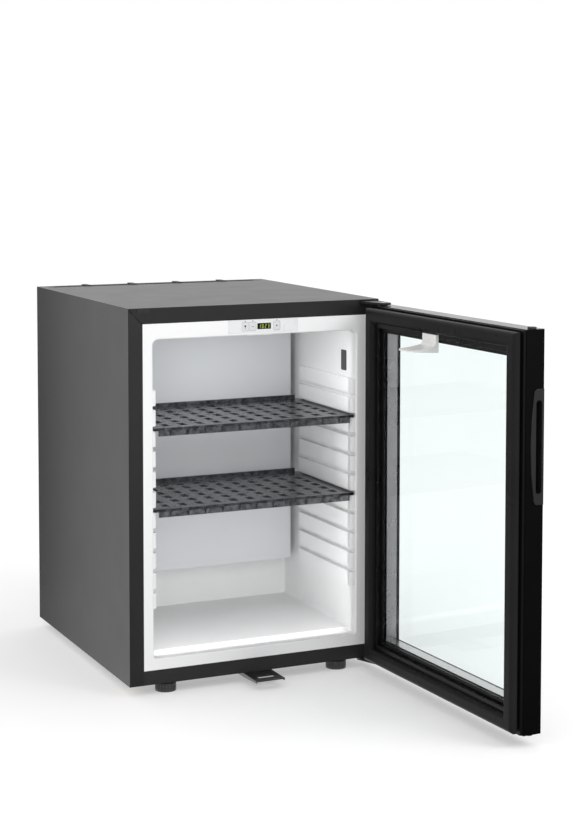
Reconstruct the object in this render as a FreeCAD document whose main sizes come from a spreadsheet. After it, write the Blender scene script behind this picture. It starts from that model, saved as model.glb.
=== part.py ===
import FreeCAD, Part
import math
import os

import Sketcher

# Glass-door minibar fridge, door swung open.
# Millimetres. +Z up, +X to the right seen from the front, front towards -Y.
# The origin lies on the floor, under the middle of the cabinet.

SIZES = {
    # Cabinet shell of folded steel sheet
    "cabinet_width": 402.0,
    "cabinet_depth": 434.0,
    "cabinet_height": 548.0,
    "sheet": 1.0,
    "stile_width": 22.0,
    "top_rail_height": 23.0,
    "bottom_rail_height": 21.0,
    "bottom_rail_return": 40.0,
    "bottom_rail_lip": 9.0,
    "mitre_gap": 1.6,
    "rear_flange": 12.0,
    "pan_edge_height": 12.0,
    # Vent grille at the rear edge of the top
    "vent_depth": 34.0,
    "vent_margin": 14.0,
    "vent_thickness": 4.0,
    "vent_slot_width": 12.0,
    "vent_slot_setback": 13.0,
    "vent_rib_pitch": 80.0,
    "vent_rib_width": 9.0,
    "vent_rib_rise": 1.5,
    "vent_clearance": 0.2,
    # White inner liner
    "liner_wall": 2.0,
    "liner_side": 15.5,
    "liner_band": 23.0,
    "sill_height": 17.0,
    "floor_step": 6.0,
    "throat_depth": 22.0,
    "throat_radius": 2.5,
    "cavity_depth": 255.0,
    "cavity_radius": 9.0,
    "floor_radius": 4.0,
    "runner_depth": 7.0,
    "runner_setback": 3.0,
    "runner_length": 189.0,
    "runner_margin": 22.0,
    "runner_radius": 6.5,
    "groove_first": 88.5,
    "groove_height": 7.0,
    "runner_ceiling_gap": 74.1,
    "groove_count": 10,
    "foam_setback": 12.0,
    "foam_back": 50.0,
    # Cold plate and evaporator fins at the back of the cavity
    "plate_setback": 205.0,
    "plate_side_gap": 13.5,
    "plate_thickness": 2.0,
    "plate_floor_gap": 70.0,
    "plate_ceiling_gap": 10.0,
    "fin_base": 4.0,
    "fin_reach": 34.0,
    "fin_thickness": 1.6,
    "fin_pitch": 14.0,
    "fin_count": 16,
    "fin_height": 190.0,
    "fin_ceiling_gap": 30.0,
    # Control panel in the band above the opening
    "panel_width": 111.0,
    "panel_height": 18.5,
    "panel_thickness": 1.5,
    "panel_offset": 10.0,
    "panel_radius": 2.0,
    "panel_rail_gap": 1.0,
    "display_width": 22.0,
    "display_height": 9.0,
    "display_offset": 1.3,
    "button_width": 8.7,
    "button_height": 11.6,
    "button_clearance": 0.2,
    "button_sink": 0.2,
    "button_length": 4.8,
    "button_collar": 1.2,
    "button_travel": 0.8,
    "button_light_offset": -29.0,
    "button_down_offset": -17.0,
    "button_up_offset": 21.7,
    "board_thickness": 1.6,
    "board_margin": 5.0,
    # Door switch and lamp under the ceiling
    "switch_width": 40.0,
    "switch_depth": 30.0,
    "switch_height": 4.0,
    "switch_setback": 30.0,
    "lamp_width": 90.0,
    "lamp_depth": 22.0,
    "lamp_height": 7.0,
    "lamp_setback": 70.0,
    # Shelves
    "shelf_depth": 198.0,
    "shelf_setback": 2.0,
    "shelf_thickness": 4.0,
    "shelf_side_clearance": 2.8,
    "shelf_play": 0.2,
    "shelf_lip_height": 12.0,
    "shelf_lip_thickness": 3.0,
    "shelf_rim_height": 6.0,
    "shelf_slot_count": 11,
    "shelf_slot_margin": 12.2,
    "shelf_slot_web": 16.2,
    "shelf_row_count": 6,
    "shelf_row_first": 14.0,
    "shelf_row_last": 16.0,
    "shelf_row_web": 10.0,
    "shelf_tick_width": 1.6,
    "shelf_tick_rise": 1.0,
    "upper_shelf_below_count": 8,
    "lower_shelf_below_count": 4,
    # Feet
    "foot_height": 15.0,
    "foot_radius": 15.5,
    "foot_collar_radius": 11.0,
    "foot_collar_height": 3.0,
    "foot_stud_radius": 4.0,
    "foot_stud_length": 13.0,
    "foot_stud_clearance": 0.4,
    "foot_flute_radius": 1.3,
    "foot_flute_count": 22,
    "foot_inset_side": 62.0,
    "foot_inset_front": 18.0,
    "foot_inset_rear": 36.0,
    # Door: frame, glazing and gasket
    "door_width": 400.0,
    "door_edge_gap": 1.0,
    "door_bottom_gap": 2.0,
    "door_top_gap": 6.5,
    "door_gap": 18.0,
    "door_thickness": 28.0,
    "door_open_angle": 92.3,
    "frame_face": 38.0,
    "frame_lip": 3.0,
    "frame_box": 16.0,
    "glass_thickness": 4.0,
    "glass_clearance": 0.5,
    "spacer_width": 7.0,
    "spacer_overlap": 1.0,
    "bead_base": 4.0,
    "bead_inset": 1.0,
    "bead_ridge_outer": 25.0,
    "bead_ridge_inner": 32.0,
    "bead_ridge_height": 10.0,
    "bead_radius": 1.2,
    "gasket_outer": 3.5,
    "gasket_inner": 24.5,
    "gasket_foot_outer": 8.0,
    "gasket_foot_inner": 20.0,
    "gasket_foot_height": 4.0,
    "gasket_clearance": 0.5,
    "gasket_radius": 6.0,
    # Hinges
    "pin_edge": 7.5,
    "pin_inset": 13.3,
    "pin_radius": 3.0,
    "pin_running": 0.05,
    "pin_depth": 15.0,
    "bush_radius": 6.0,
    "bush_length": 18.0,
    "bush_head_radius": 6.6,
    "bush_head_upper": 0.6,
    "bush_head_lower": 1.7,
    "hinge_plate": 3.0,
    "hinge_plate_drop": 2.5,
    "hinge_plate_tail": 26.0,
    "hinge_plate_edge": 7.0,
    "hinge_slot_outer": 13.0,
    "hinge_slot_width": 19.0,
    "hinge_slot_height": 5.0,
    "hinge_slot_clearance": 0.5,
    "hinge_end_radius": 6.0,
    "blank_rim": 2.0,
    "blank_rise": 0.6,
    "plug_rise": 2.5,
    "plug_depth": 10.0,
    "screw_head_radius": 3.6,
    "screw_head_height": 1.6,
    "screw_shank_radius": 1.7,
    "screw_edge": 6.0,
    # Handle in the free edge
    "handle_top_gap": 78.5,
    "handle_length": 154.0,
    "handle_bow": 21.0,
    "handle_end": 15.0,
    "handle_rise": 1.5,
    "handle_corner_radius": 6.0,
    "handle_rim_radius": 0.9,
    "handle_slot_margin": 15.0,
    "handle_slot_radius": 4.4,
    "handle_slot_front": 3.7,
    "handle_slot_width": 9.2,
    "handle_slot_depth": 12.0,
    "handle_wall": 1.6,
    # Striker that works the door switch
    "striker_offset": 17.5,
    "striker_width": 36.0,
    "striker_top": 25.5,
    "striker_drop": 25.0,
    "striker_thickness": 5.5,
    "striker_reach": 41.0,
    "striker_root": 6.0,
    "striker_tip": 1.6,
    "striker_corner": 8.0,
    # Lock in the bottom rail and keeper under the cabinet
    "lock_radius": 6.0,
    "lock_running": 0.1,
    "lock_rim_radius": 7.2,
    "lock_rim": 0.8,
    "lock_axis_rise": 8.0,
    "lock_cam_setback": 15.0,
    "lock_cam_thickness": 2.5,
    "lock_cam_width": 8.0,
    "lock_cam_reach": 15.0,
    "lock_cam_clearance": 1.0,
    "lock_cam_swing": 7.5,
    "lock_key_width": 1.6,
    "lock_key_length": 7.0,
    "lock_key_depth": 5.0,
    "keeper_width": 46.0,
    "keeper_reach": 48.0,
    "keeper_tail": 34.0,
    "keeper_sheet": 1.5,
    "keeper_hem": 6.0,
    "keeper_screw_spread": 11.5,
    "keeper_slot_width": 26.0,
    "keeper_slot_length": 9.0,
    # Cooling unit behind the cabinet
    "unit_setback": 60.0,
    "vessel_radius": 30.0,
    "vessel_length": 220.0,
    "vessel_height": 60.0,
    "vessel_centre": -40.0,
    "vessel_dome": 12.0,
    "cradle_thickness": 3.0,
    "cradle_spread": 70.0,
    "cradle_margin": 6.0,
    "generator_radius": 32.0,
    "generator_base": 100.0,
    "generator_side_gap": 71.0,
    "generator_rim": 3.0,
    "strap_width": 24.0,
    "strap_height": 14.0,
    "pipe_radius": 8.0,
    "pipe_bend": 17.0,
    "coil_runs": 5,
    "coil_pitch": 36.0,
    "coil_generator_gap": 70.0,
    "condenser_drop": 68.0,
    "condenser_rise": 110.0,
    "condenser_side_gap": 61.0,
    "condenser_fin_size": 56.0,
    "condenser_fin_thickness": 1.0,
    "condenser_fin_count": 16,
    "condenser_fin_left_gap": 40.0,
    "condenser_fin_right_gap": 50.0,
    "terminal_width": 84.0,
    "terminal_depth": 38.0,
    "terminal_height": 78.0,
    "terminal_left": -60.0,
    "terminal_fin_gap": 39.0,
    "terminal_lid": 3.0,
    "gland_radius": 9.0,
    "gland_nose_radius": 7.0,
    "gland_bore_radius": 3.5,
    "gland_length": 20.0,
}


class Dim:
    """A size that carries its number and the spreadsheet formula that gives it."""

    def __init__(self, value, text):
        self.value = value
        self.text = text

    def _join(self, other, sign, value):
        return Dim(value, f"({self.text} {sign} {text_of(other)})")

    def __add__(self, other):
        return self._join(other, "+", self.value + value_of(other))

    def __radd__(self, other):
        return self + other

    def __sub__(self, other):
        return self._join(other, "-", self.value - value_of(other))

    def __rsub__(self, other):
        return -self + other

    def __mul__(self, other):
        return self._join(other, "*", self.value * value_of(other))

    def __rmul__(self, other):
        return self * other

    def __truediv__(self, other):
        return self._join(other, "/", self.value / value_of(other))

    def __neg__(self):
        return Dim(-self.value, f"(-1 * {self.text})")


def value_of(number):
    """The number of a Dim, or of a plain number."""
    return number.value if isinstance(number, Dim) else number


def text_of(number):
    """The formula of a Dim, or the text of a plain number."""
    return number.text if isinstance(number, Dim) else str(number)


class Sizes:
    """Reads the driving dimensions from the spreadsheet by their names."""

    def __init__(self, sheet):
        self._sheet = sheet

    def __getattr__(self, name):
        return Dim(float(self._sheet.get(name)), f"Sizes.{name}")


def make_sheet(document):
    """Puts the driving dimensions into a spreadsheet, one named cell each."""
    sheet = document.addObject("Spreadsheet::Sheet", "Sizes")
    for row, (name, value) in enumerate(SIZES.items(), 1):
        sheet.set(f"A{row}", name)
        sheet.set(f"B{row}", str(value))
        sheet.setAlias(f"B{row}", name)
    document.recompute()
    return sheet


doc = FreeCAD.newDocument("minibar")
size = Sizes(make_sheet(doc))
nodes = {}

# Planes and lines that several pieces share.
half_width = size.cabinet_width / 2
front = -size.cabinet_depth / 2
rear = size.cabinet_depth / 2
base = size.foot_height
top = size.foot_height + size.cabinet_height
opening_side = half_width - size.stile_width - size.liner_side
opening_top = top - size.top_rail_height - size.liner_band
rail_top = base + size.bottom_rail_height
sill = rail_top + size.sill_height
floor = sill + size.floor_step
cavity_back = front + size.cavity_depth
rear_face = cavity_back + size.liner_wall + size.foam_back
unit_wall = rear_face + size.sheet
unit_line = unit_wall + size.unit_setback
generator_line = half_width - size.generator_side_gap
condenser_line = top - size.condenser_drop
generator_top = condenser_line - size.condenser_rise
zero = Dim(0.0, "0")

door_low = base + size.door_bottom_gap
door_high = top - size.door_top_gap
door_hinge = half_width - size.door_edge_gap
door_free = door_hinge - size.door_width
door_inner = front - size.door_gap
door_outer = door_inner - size.door_thickness
pin_x = door_hinge - size.pin_edge
pin_y = door_inner - size.pin_inset
plate_top = top - size.hinge_plate_drop
plate_low = plate_top - size.hinge_plate

# Which way each origin plane's normal points along its axis.
PLANE_SIGN = {"XY": 1, "XZ": -1, "YZ": 1}
TOLERANCE = 1e-4


def origin_feature(body, role):
    """A plane or axis of a body's own origin, by its role."""
    return next(item for item in body.Origin.OriginFeatures if item.Role == role)


def pin_coordinate(sketch, kind, geometry, point, number):
    """Holds one coordinate of a sketch point at a size measured from the origin."""
    value = value_of(number)
    if abs(value) < TOLERANCE:
        axis = -2 if kind == "DistanceX" else -1
        sketch.addConstraint(Sketcher.Constraint("PointOnObject", geometry, point, axis))
        return
    index = sketch.addConstraint(Sketcher.Constraint(kind, -1, 1, geometry, point, value))
    if isinstance(number, Dim):
        sketch.setExpression(f"Constraints[{index}]", number.text)


def draw_outline(sketch, points):
    """Adds a closed outline of straight lines, with every corner held by its sizes."""
    corners = [FreeCAD.Vector(value_of(u), value_of(v), 0) for u, v in points]
    count = len(corners)
    first = sketch.GeometryCount
    for i in range(count):
        sketch.addGeometry(Part.LineSegment(corners[i], corners[(i + 1) % count]), False)
    for i in range(count):
        following = first + (i + 1) % count
        sketch.addConstraint(Sketcher.Constraint("Coincident", first + i, 2, following, 1))
    for i, (u, v) in enumerate(points):
        pin_coordinate(sketch, "DistanceX", first + i, 1, u)
        pin_coordinate(sketch, "DistanceY", first + i, 1, v)


def draw_circle(sketch, centre_u, centre_v, radius):
    """Adds a circle held by its centre and radius."""
    centre = FreeCAD.Vector(value_of(centre_u), value_of(centre_v), 0)
    circle = Part.Circle(centre, FreeCAD.Vector(0, 0, 1), value_of(radius))
    geometry = sketch.addGeometry(circle, False)
    pin_coordinate(sketch, "DistanceX", geometry, 3, centre_u)
    pin_coordinate(sketch, "DistanceY", geometry, 3, centre_v)
    index = sketch.addConstraint(Sketcher.Constraint("Radius", geometry, value_of(radius)))
    sketch.setExpression(f"Constraints[{index}]", radius.text)


def rectangle(u_low, u_high, v_low, v_high):
    """The four corners of a rectangle."""
    return [(u_low, v_low), (u_high, v_low), (u_high, v_high), (u_low, v_high)]


def disc(centre_u, centre_v, radius):
    """A circle, told apart from an outline by its own tuple."""
    return ("disc", centre_u, centre_v, radius)


def add_sketch(body, plane, shapes, start):
    """Draws shapes in a sketch on one of a body's origin planes, moved to start."""
    sketch = body.newObject("Sketcher::SketchObject", f"{body.Name}_sketch")
    sketch.AttachmentSupport = [(origin_feature(body, f"{plane}_Plane"), "")]
    sketch.MapMode = "FlatFace"
    offset = start * PLANE_SIGN[plane]
    sketch.AttachmentOffset = FreeCAD.Placement(FreeCAD.Vector(0, 0, offset.value), FreeCAD.Rotation())
    sketch.setExpression("AttachmentOffset.Base.z", offset.text)
    for shape in shapes:
        if shape[0] == "disc":
            draw_circle(sketch, *shape[1:])
        else:
            draw_outline(sketch, shape)
    return sketch


def add_prism(body, plane, shapes, start, end):
    """Adds the shapes of a sketch, drawn out along the plane's axis from start to end."""
    pad = body.newObject("PartDesign::Pad", f"{body.Name}_pad")
    pad.Profile = add_sketch(body, plane, shapes, start)
    pad.Reversed = PLANE_SIGN[plane] < 0
    length = end - start
    pad.Length = length.value
    pad.setExpression("Length", length.text)
    body.Tip = pad
    return pad


def cut_prism(body, plane, shapes, start, end):
    """Cuts the shapes of a sketch away, along the plane's axis from start to end."""
    doc.recompute()
    volume = body.Shape.Volume
    pocket = body.newObject("PartDesign::Pocket", f"{body.Name}_pocket")
    pocket.Profile = add_sketch(body, plane, shapes, start)
    pocket.Reversed = PLANE_SIGN[plane] > 0
    length = end - start
    pocket.Length = length.value
    pocket.setExpression("Length", length.text)
    body.Tip = pocket
    doc.recompute()
    if body.Shape.Volume >= volume - TOLERANCE:
        raise RuntimeError(f"a cut in {body.Label} removed nothing")
    return pocket


def prism(name, plane, shapes, start, end):
    """A new node that starts as one drawn-out sketch."""
    body = doc.addObject("PartDesign::Body", name)
    body.Label = name
    add_prism(body, plane, shapes, start, end)
    nodes[name] = body
    return body


def flat_at(low, high, wanted):
    """Whether an edge's extent along one axis is a single wanted coordinate."""
    if wanted is None:
        return True
    return abs(low - value_of(wanted)) < TOLERANCE and abs(high - value_of(wanted)) < TOLERANCE


def edges_at(shape, x=None, y=None, z=None, within=None):
    """Names of the edges that lie at the given coordinates, inside an optional box."""
    names = []
    for index, edge in enumerate(shape.Edges, 1):
        box = edge.BoundBox
        if not flat_at(box.XMin, box.XMax, x):
            continue
        if not flat_at(box.YMin, box.YMax, y) or not flat_at(box.ZMin, box.ZMax, z):
            continue
        if within is None or within(edge.CenterOfMass):
            names.append(f"Edge{index}")
    return names


def round_edges(body, radius, *places):
    """Fillets the edges found at each place of the body's present shape."""
    doc.recompute()
    solid = body.Tip
    names = []
    for place in places:
        names += edges_at(solid.Shape, **place)
    if not names:
        raise RuntimeError(f"no edge to round on {body.Label}")
    fillet = body.newObject("PartDesign::Fillet", f"{body.Name}_fillet")
    fillet.Base = (solid, sorted(set(names)))
    fillet.Radius = radius.value
    fillet.setExpression("Radius", radius.text)
    body.Tip = fillet
    doc.recompute()
    return fillet


def repeat_along(body, feature, role, pitch, count):
    """Repeats a feature along one of the body's axes."""
    pattern = body.newObject("PartDesign::LinearPattern", f"{body.Name}_row")
    pattern.Originals = [feature]
    pattern.Direction = (origin_feature(body, role), [""])
    reach = pitch * (count - 1)
    pattern.Length = reach.value
    pattern.setExpression("Length", reach.text)
    pattern.Occurrences = int(count.value)
    pattern.setExpression("Occurrences", count.text)
    body.Tip = pattern
    doc.recompute()
    return pattern


def side_panels():
    """Left and right steel panels, folded at the front and rear, mitred at the top corners."""
    for name, side in (("left_side_panel", -1), ("right_side_panel", 1)):
        outer = half_width * side
        inner = (half_width - size.sheet) * side
        flange = (half_width - size.stile_width) * side
        back_flange = (half_width - size.rear_flange) * side
        profile = [
            (outer, front),
            (flange, front),
            (flange, front + size.sheet),
            (inner, front + size.sheet),
            (inner, rear - size.sheet),
            (back_flange, rear - size.sheet),
            (back_flange, rear),
            (outer, rear),
        ]
        body = prism(name, "XY", [profile], base, top - size.sheet)
        mitre = [
            (outer, top - size.mitre_gap),
            (flange, top - size.top_rail_height - size.mitre_gap),
            (flange, top),
            (outer, top),
        ]
        cut_prism(body, "XZ", [mitre], front, front + size.sheet)


def hinge_slot(side, clearance):
    """The slot in the top rail that a hinge plate passes through."""
    outer = half_width - size.hinge_slot_outer + clearance
    inner = half_width - size.hinge_slot_outer - size.hinge_slot_width - clearance
    middle = (plate_top + plate_low) / 2
    low = middle - size.hinge_slot_height / 2
    high = middle + size.hinge_slot_height / 2
    return rectangle(outer * side, inner * side, low, high)


def top_panel():
    """Top steel panel with its mitred front rail, hinge slots and a notch for the vent."""
    notch_side = half_width - size.vent_margin
    notch_front = rear - size.vent_depth
    plan = [
        (-half_width, front),
        (half_width, front),
        (half_width, rear),
        (notch_side, rear),
        (notch_side, notch_front),
        (-notch_side, notch_front),
        (-notch_side, rear),
        (-half_width, rear),
    ]
    body = prism("top_panel", "XY", [plan], top - size.sheet, top)
    rail_low = top - size.top_rail_height
    rail_side = half_width - size.stile_width
    rail = [(-half_width, top), (half_width, top), (rail_side, rail_low), (-rail_side, rail_low)]
    add_prism(body, "XZ", [rail], front, front + size.sheet)
    slots = [hinge_slot(side, size.hinge_slot_clearance) for side in (-1, 1)]
    cut_prism(body, "XZ", slots, front, front + size.sheet)


def vent_grille():
    """Plastic strip at the rear edge of the top, with long slots between raised ribs."""
    side = half_width - size.vent_margin - size.vent_clearance
    strip = rectangle(-side, side, rear - size.vent_depth + size.vent_clearance, rear)
    body = prism("rear_vent_grille", "XY", [strip], top - size.vent_thickness, top)
    slot_rear = rear - size.vent_slot_setback
    slot_front = slot_rear - size.vent_slot_width
    ribs = [size.vent_rib_pitch * step for step in (-1.5, -0.5, 0.5, 1.5)]
    half_rib = size.vent_rib_width / 2
    edges = [-side + size.vent_rib_width]
    for rib in ribs:
        edges += [rib - half_rib, rib + half_rib]
    edges.append(side - size.vent_rib_width)
    slots = [rectangle(edges[i], edges[i + 1], slot_front, slot_rear) for i in range(0, len(edges), 2)]
    cut_prism(body, "XY", slots, top - size.vent_thickness, top)
    raised = [rectangle(rib - half_rib, rib + half_rib, slot_front, rear) for rib in ribs]
    add_prism(body, "XY", raised, top, top + size.vent_rib_rise)


def foot_places():
    """Name and place of each foot."""
    side = half_width - size.foot_inset_side
    near = front + size.foot_inset_front
    far = rear - size.foot_inset_rear
    return [
        ("foot_front_left", -side, near),
        ("foot_front_right", side, near),
        ("foot_rear_left", -side, far),
        ("foot_rear_right", side, far),
    ]


def bottom_rail():
    """Front rail under the opening, folded back over its top and under the cabinet."""
    sheet = size.sheet
    profile = [
        (front, base),
        (front, rail_top),
        (front + size.bottom_rail_lip, rail_top),
        (front + size.bottom_rail_lip, rail_top - sheet),
        (front + sheet, rail_top - sheet),
        (front + sheet, base + sheet),
        (front + size.bottom_rail_return, base + sheet),
        (front + size.bottom_rail_return, base),
    ]
    side = half_width - size.stile_width
    body = prism("bottom_rail", "YZ", [profile], -side, side)
    hole = size.foot_stud_radius + size.foot_stud_clearance
    holes = [disc(x, y, hole) for _, x, y in foot_places()[:2]]
    holes += screw_holes(hinge_screw_places() + keeper_screw_places())
    cut_prism(body, "XY", holes, base, base + sheet)


def base_pan():
    """Steel floor of the cabinet with turned-up edges."""
    sheet = size.sheet
    side = half_width - sheet
    edge_top = base + size.pan_edge_height
    profile = [
        (-side, base),
        (side, base),
        (side, edge_top),
        (side - sheet, edge_top),
        (side - sheet, base + sheet),
        (-side + sheet, base + sheet),
        (-side + sheet, edge_top),
        (-side, edge_top),
    ]
    body = prism("base_pan", "XZ", [profile], front + size.bottom_rail_return, rear - sheet)
    hole = size.foot_stud_radius + size.foot_stud_clearance
    holes = [disc(x, y, hole) for _, x, y in foot_places()[2:]]
    cut_prism(body, "XY", holes, base, base + sheet)


def panel_box(margin):
    """Outline of the control panel, grown by a margin."""
    centre = size.panel_offset
    half = size.panel_width / 2 + margin
    high = top - size.top_rail_height - size.panel_rail_gap + margin
    low = high - size.panel_height - margin * 2
    return centre - half, centre + half, low, high


def inner_liner():
    """White moulded liner: front flange, stepped throat, cavity and shelf runners."""
    wall = size.liner_wall
    side = half_width - size.stile_width
    body = prism("inner_liner", "XZ", [rectangle(-side, side, rail_top, top - size.top_rail_height)],
                 front, front + wall)
    tub = rectangle(-opening_side - wall, opening_side + wall, sill - wall, opening_top + wall)
    add_prism(body, "XZ", [tub], front, cavity_back + wall)
    throat = rectangle(-opening_side, opening_side, sill, opening_top)
    cut_prism(body, "XZ", [throat], front, front + size.throat_depth)
    cavity = rectangle(-opening_side, opening_side, floor, opening_top)
    cut_prism(body, "XZ", [cavity], front, cavity_back)
    round_edges(body, size.cavity_radius, *[dict(x=s * opening_side, z=opening_top) for s in (-1, 1)])
    round_edges(body, size.floor_radius, *[dict(x=s * opening_side, z=floor) for s in (-1, 1)],
                *[dict(x=s * opening_side, z=sill) for s in (-1, 1)])
    mouth = [dict(y=front, within=in_mouth)]
    round_edges(body, size.throat_radius, *mouth)
    shelf_runners(body)
    cut_prism(body, "XZ", [rectangle(*panel_box(size.button_clearance))], front,
              front + size.panel_thickness)
    cut_prism(body, "XZ", [rectangle(*panel_box(-size.board_margin / 2))], front, front + wall)


def in_mouth(point):
    """Whether a point lies on the rim of the opening and not on the flange's outer edge."""
    margin = size.liner_side.value / 2
    across = abs(point.x) < opening_side.value + margin
    return across and sill.value - margin < point.z < opening_top.value + margin


def runner_levels():
    """Lowest and highest point of the raised runner panels."""
    low = floor + size.groove_first - size.runner_margin
    return low, opening_top - size.runner_ceiling_gap


def groove_pitch():
    """Rise from one groove to the next: the grooves share the height of the runner panel."""
    low, high = runner_levels()
    room = high - low - size.runner_margin * 2 - size.groove_height
    return room / (size.groove_count - 1)


def shelf_runners(body):
    """Raised side panels with level grooves that carry the shelves."""
    low, high = runner_levels()
    near = front + size.runner_setback
    far = near + size.runner_length
    face = opening_side - size.runner_depth
    panels = [rectangle(face * s, opening_side * s, near, far) for s in (-1, 1)]
    add_prism(body, "XY", panels, low, high)
    round_edges(body, size.runner_radius, *[dict(x=s * face, y=near) for s in (-1, 1)],
                *[dict(x=s * face, y=far) for s in (-1, 1)])
    start = floor + size.groove_first
    grooves = [rectangle(face * s, opening_side * s, near, far) for s in (-1, 1)]
    groove = cut_prism(body, "XY", grooves, start, start + size.groove_height)
    repeat_along(body, groove, "Z_Axis", groove_pitch(), size.groove_count)


def make_box(name, x, y, z):
    """A Part box between two coordinates on each axis."""
    block = doc.addObject("Part::Box", name)
    for (low, high), length, axis in zip((x, y, z), ("Length", "Width", "Height"), "xyz"):
        extent = high - low
        setattr(block, length, extent.value)
        block.setExpression(length, extent.text)
        block.setExpression(f"Placement.Base.{axis}", low.text)
    return block


def make_post(name, x, y, z_low, z_high, radius):
    """An upright Part cylinder."""
    post = doc.addObject("Part::Cylinder", name)
    post.Radius = radius.value
    post.setExpression("Radius", radius.text)
    height = z_high - z_low
    post.Height = height.value
    post.setExpression("Height", height.text)
    for axis, number in zip("xyz", (x, y, z_low)):
        post.setExpression(f"Placement.Base.{axis}", number.text)
    return post


def insulation():
    """Foam that fills the walls round the liner."""
    sheet = size.sheet
    wall = size.liner_wall
    side = half_width - sheet * 2
    near = front + size.foam_setback
    block = make_box("foam_block", (-side, side), (near, rear_face), (base + sheet, top - sheet))
    reach = opening_side + wall
    hollow = make_box("foam_hollow", (-reach, reach), (front, cavity_back + wall),
                      (sill - wall, opening_top + wall))
    tools = [hollow]
    clear = size.hinge_slot_clearance
    tail = front + size.hinge_plate_tail + clear
    for side_name, sign in (("left", -1), ("right", 1)):
        outer = (half_width - size.hinge_slot_outer + clear) * sign
        inner = (half_width - size.hinge_slot_outer - size.hinge_slot_width - clear) * sign
        low, high = (inner, outer) if sign > 0 else (outer, inner)
        tools.append(make_box(f"foam_hinge_{side_name}", (low, high), (front, tail),
                              (plate_low - clear, plate_top + clear)))
    well = size.foot_stud_radius + size.foot_stud_clearance
    for name, x, y in foot_places()[:2]:
        stud_top = base + size.foot_stud_length + size.foot_stud_clearance
        tools.append(make_post(f"foam_{name}", x, y, base, stud_top, well))
    fused = doc.addObject("Part::MultiFuse", "foam_hollows")
    fused.Shapes = tools
    foam = doc.addObject("Part::Cut", "insulation")
    foam.Base = block
    foam.Tool = fused
    foam.Label = "insulation"
    nodes["insulation"] = foam


def rear_panel():
    """Steel sheet that closes the foam towards the cooling unit."""
    side = half_width - size.sheet * 2
    sheet = rectangle(-side, side, base + size.sheet, top - size.sheet)
    prism("rear_panel", "XZ", [sheet], rear_face, unit_wall)


def cold_plate():
    """Folded plate that stands off the back wall and hides the evaporator."""
    half = opening_side - size.plate_side_gap
    thick = size.plate_thickness
    near = front + size.plate_setback
    profile = [
        (-half, near),
        (half, near),
        (half, cavity_back),
        (half - thick, cavity_back),
        (half - thick, near + thick),
        (-half + thick, near + thick),
        (-half + thick, cavity_back),
        (-half, cavity_back),
    ]
    low = floor + size.plate_floor_gap
    prism("cold_plate", "XY", [profile], low, opening_top - size.plate_ceiling_gap)


def evaporator():
    """Finned aluminium evaporator on the back wall, behind the cold plate."""
    half = size.fin_pitch * (size.fin_count - 1) / 2
    high = opening_top - size.fin_ceiling_gap
    low = high - size.fin_height
    plate_back = cavity_back - size.fin_base
    edge = half + size.fin_pitch / 2
    body = prism("evaporator_fins", "XY", [rectangle(-edge, edge, plate_back, cavity_back)], low, high)
    half_fin = size.fin_thickness / 2
    fin = rectangle(-half - half_fin, -half + half_fin, cavity_back - size.fin_reach, plate_back)
    feature = add_prism(body, "XY", [fin], low, high)
    repeat_along(body, feature, "X_Axis", size.fin_pitch, size.fin_count)


def button_places():
    """Name and middle of each button along the panel."""
    return [
        ("light_button", size.panel_offset + size.button_light_offset),
        ("down_button", size.panel_offset + size.button_down_offset),
        ("up_button", size.panel_offset + size.button_up_offset),
    ]


def control_panel():
    """Panel with its display window, push buttons and circuit board."""
    left, right, low, high = panel_box(zero)
    middle = (low + high) / 2
    body = prism("control_panel", "XZ", [rectangle(left, right, low, high)], front,
                 front + size.panel_thickness)
    round_edges(body, size.panel_radius, *[dict(x=x, z=z) for x in (left, right) for z in (low, high)])
    display = size.panel_offset + size.display_offset
    gap = size.button_clearance
    half_display = size.display_width / 2
    tall_display = size.display_height / 2
    half = size.button_width / 2
    tall = size.button_height / 2
    holes = [rectangle(display - half_display, display + half_display, middle - tall_display,
                       middle + tall_display)]
    holes += [rectangle(x - half - gap, x + half + gap, middle - tall - gap, middle + tall + gap)
              for _, x in button_places()]
    cut_prism(body, "XZ", holes, front, front + size.panel_thickness)
    window = rectangle(display - half_display + gap, display + half_display - gap,
                       middle - tall_display + gap, middle + tall_display - gap)
    prism("display_window", "XZ", [window], front + size.button_sink, front + size.panel_thickness)
    collar = size.button_collar
    for name, x in button_places():
        face = front + size.button_sink
        cap = prism(name, "XZ", [rectangle(x - half, x + half, middle - tall, middle + tall)], face,
                    face + size.button_length)
        flange_start = front + size.panel_thickness + gap
        flange = rectangle(x - half - collar, x + half + collar, middle - tall, middle + tall)
        add_prism(cap, "XZ", [flange], flange_start, flange_start + collar)
    circuit_board(left, right, low, high)


def circuit_board(left, right, low, high):
    """Board behind the buttons, on two posts that stand on the liner's flange."""
    behind = front + size.liner_wall
    pressed = front + size.button_sink + size.button_length + size.button_travel
    face = pressed + size.button_clearance
    margin = size.board_margin
    board = prism("control_board", "XZ", [rectangle(left, right, low, high)], face,
                  face + size.board_thickness)
    ends = [(left, left + margin / 2), (right - margin / 2, right)]
    add_prism(board, "XZ", [rectangle(a, b, low, high) for a, b in ends], behind, face)


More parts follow.
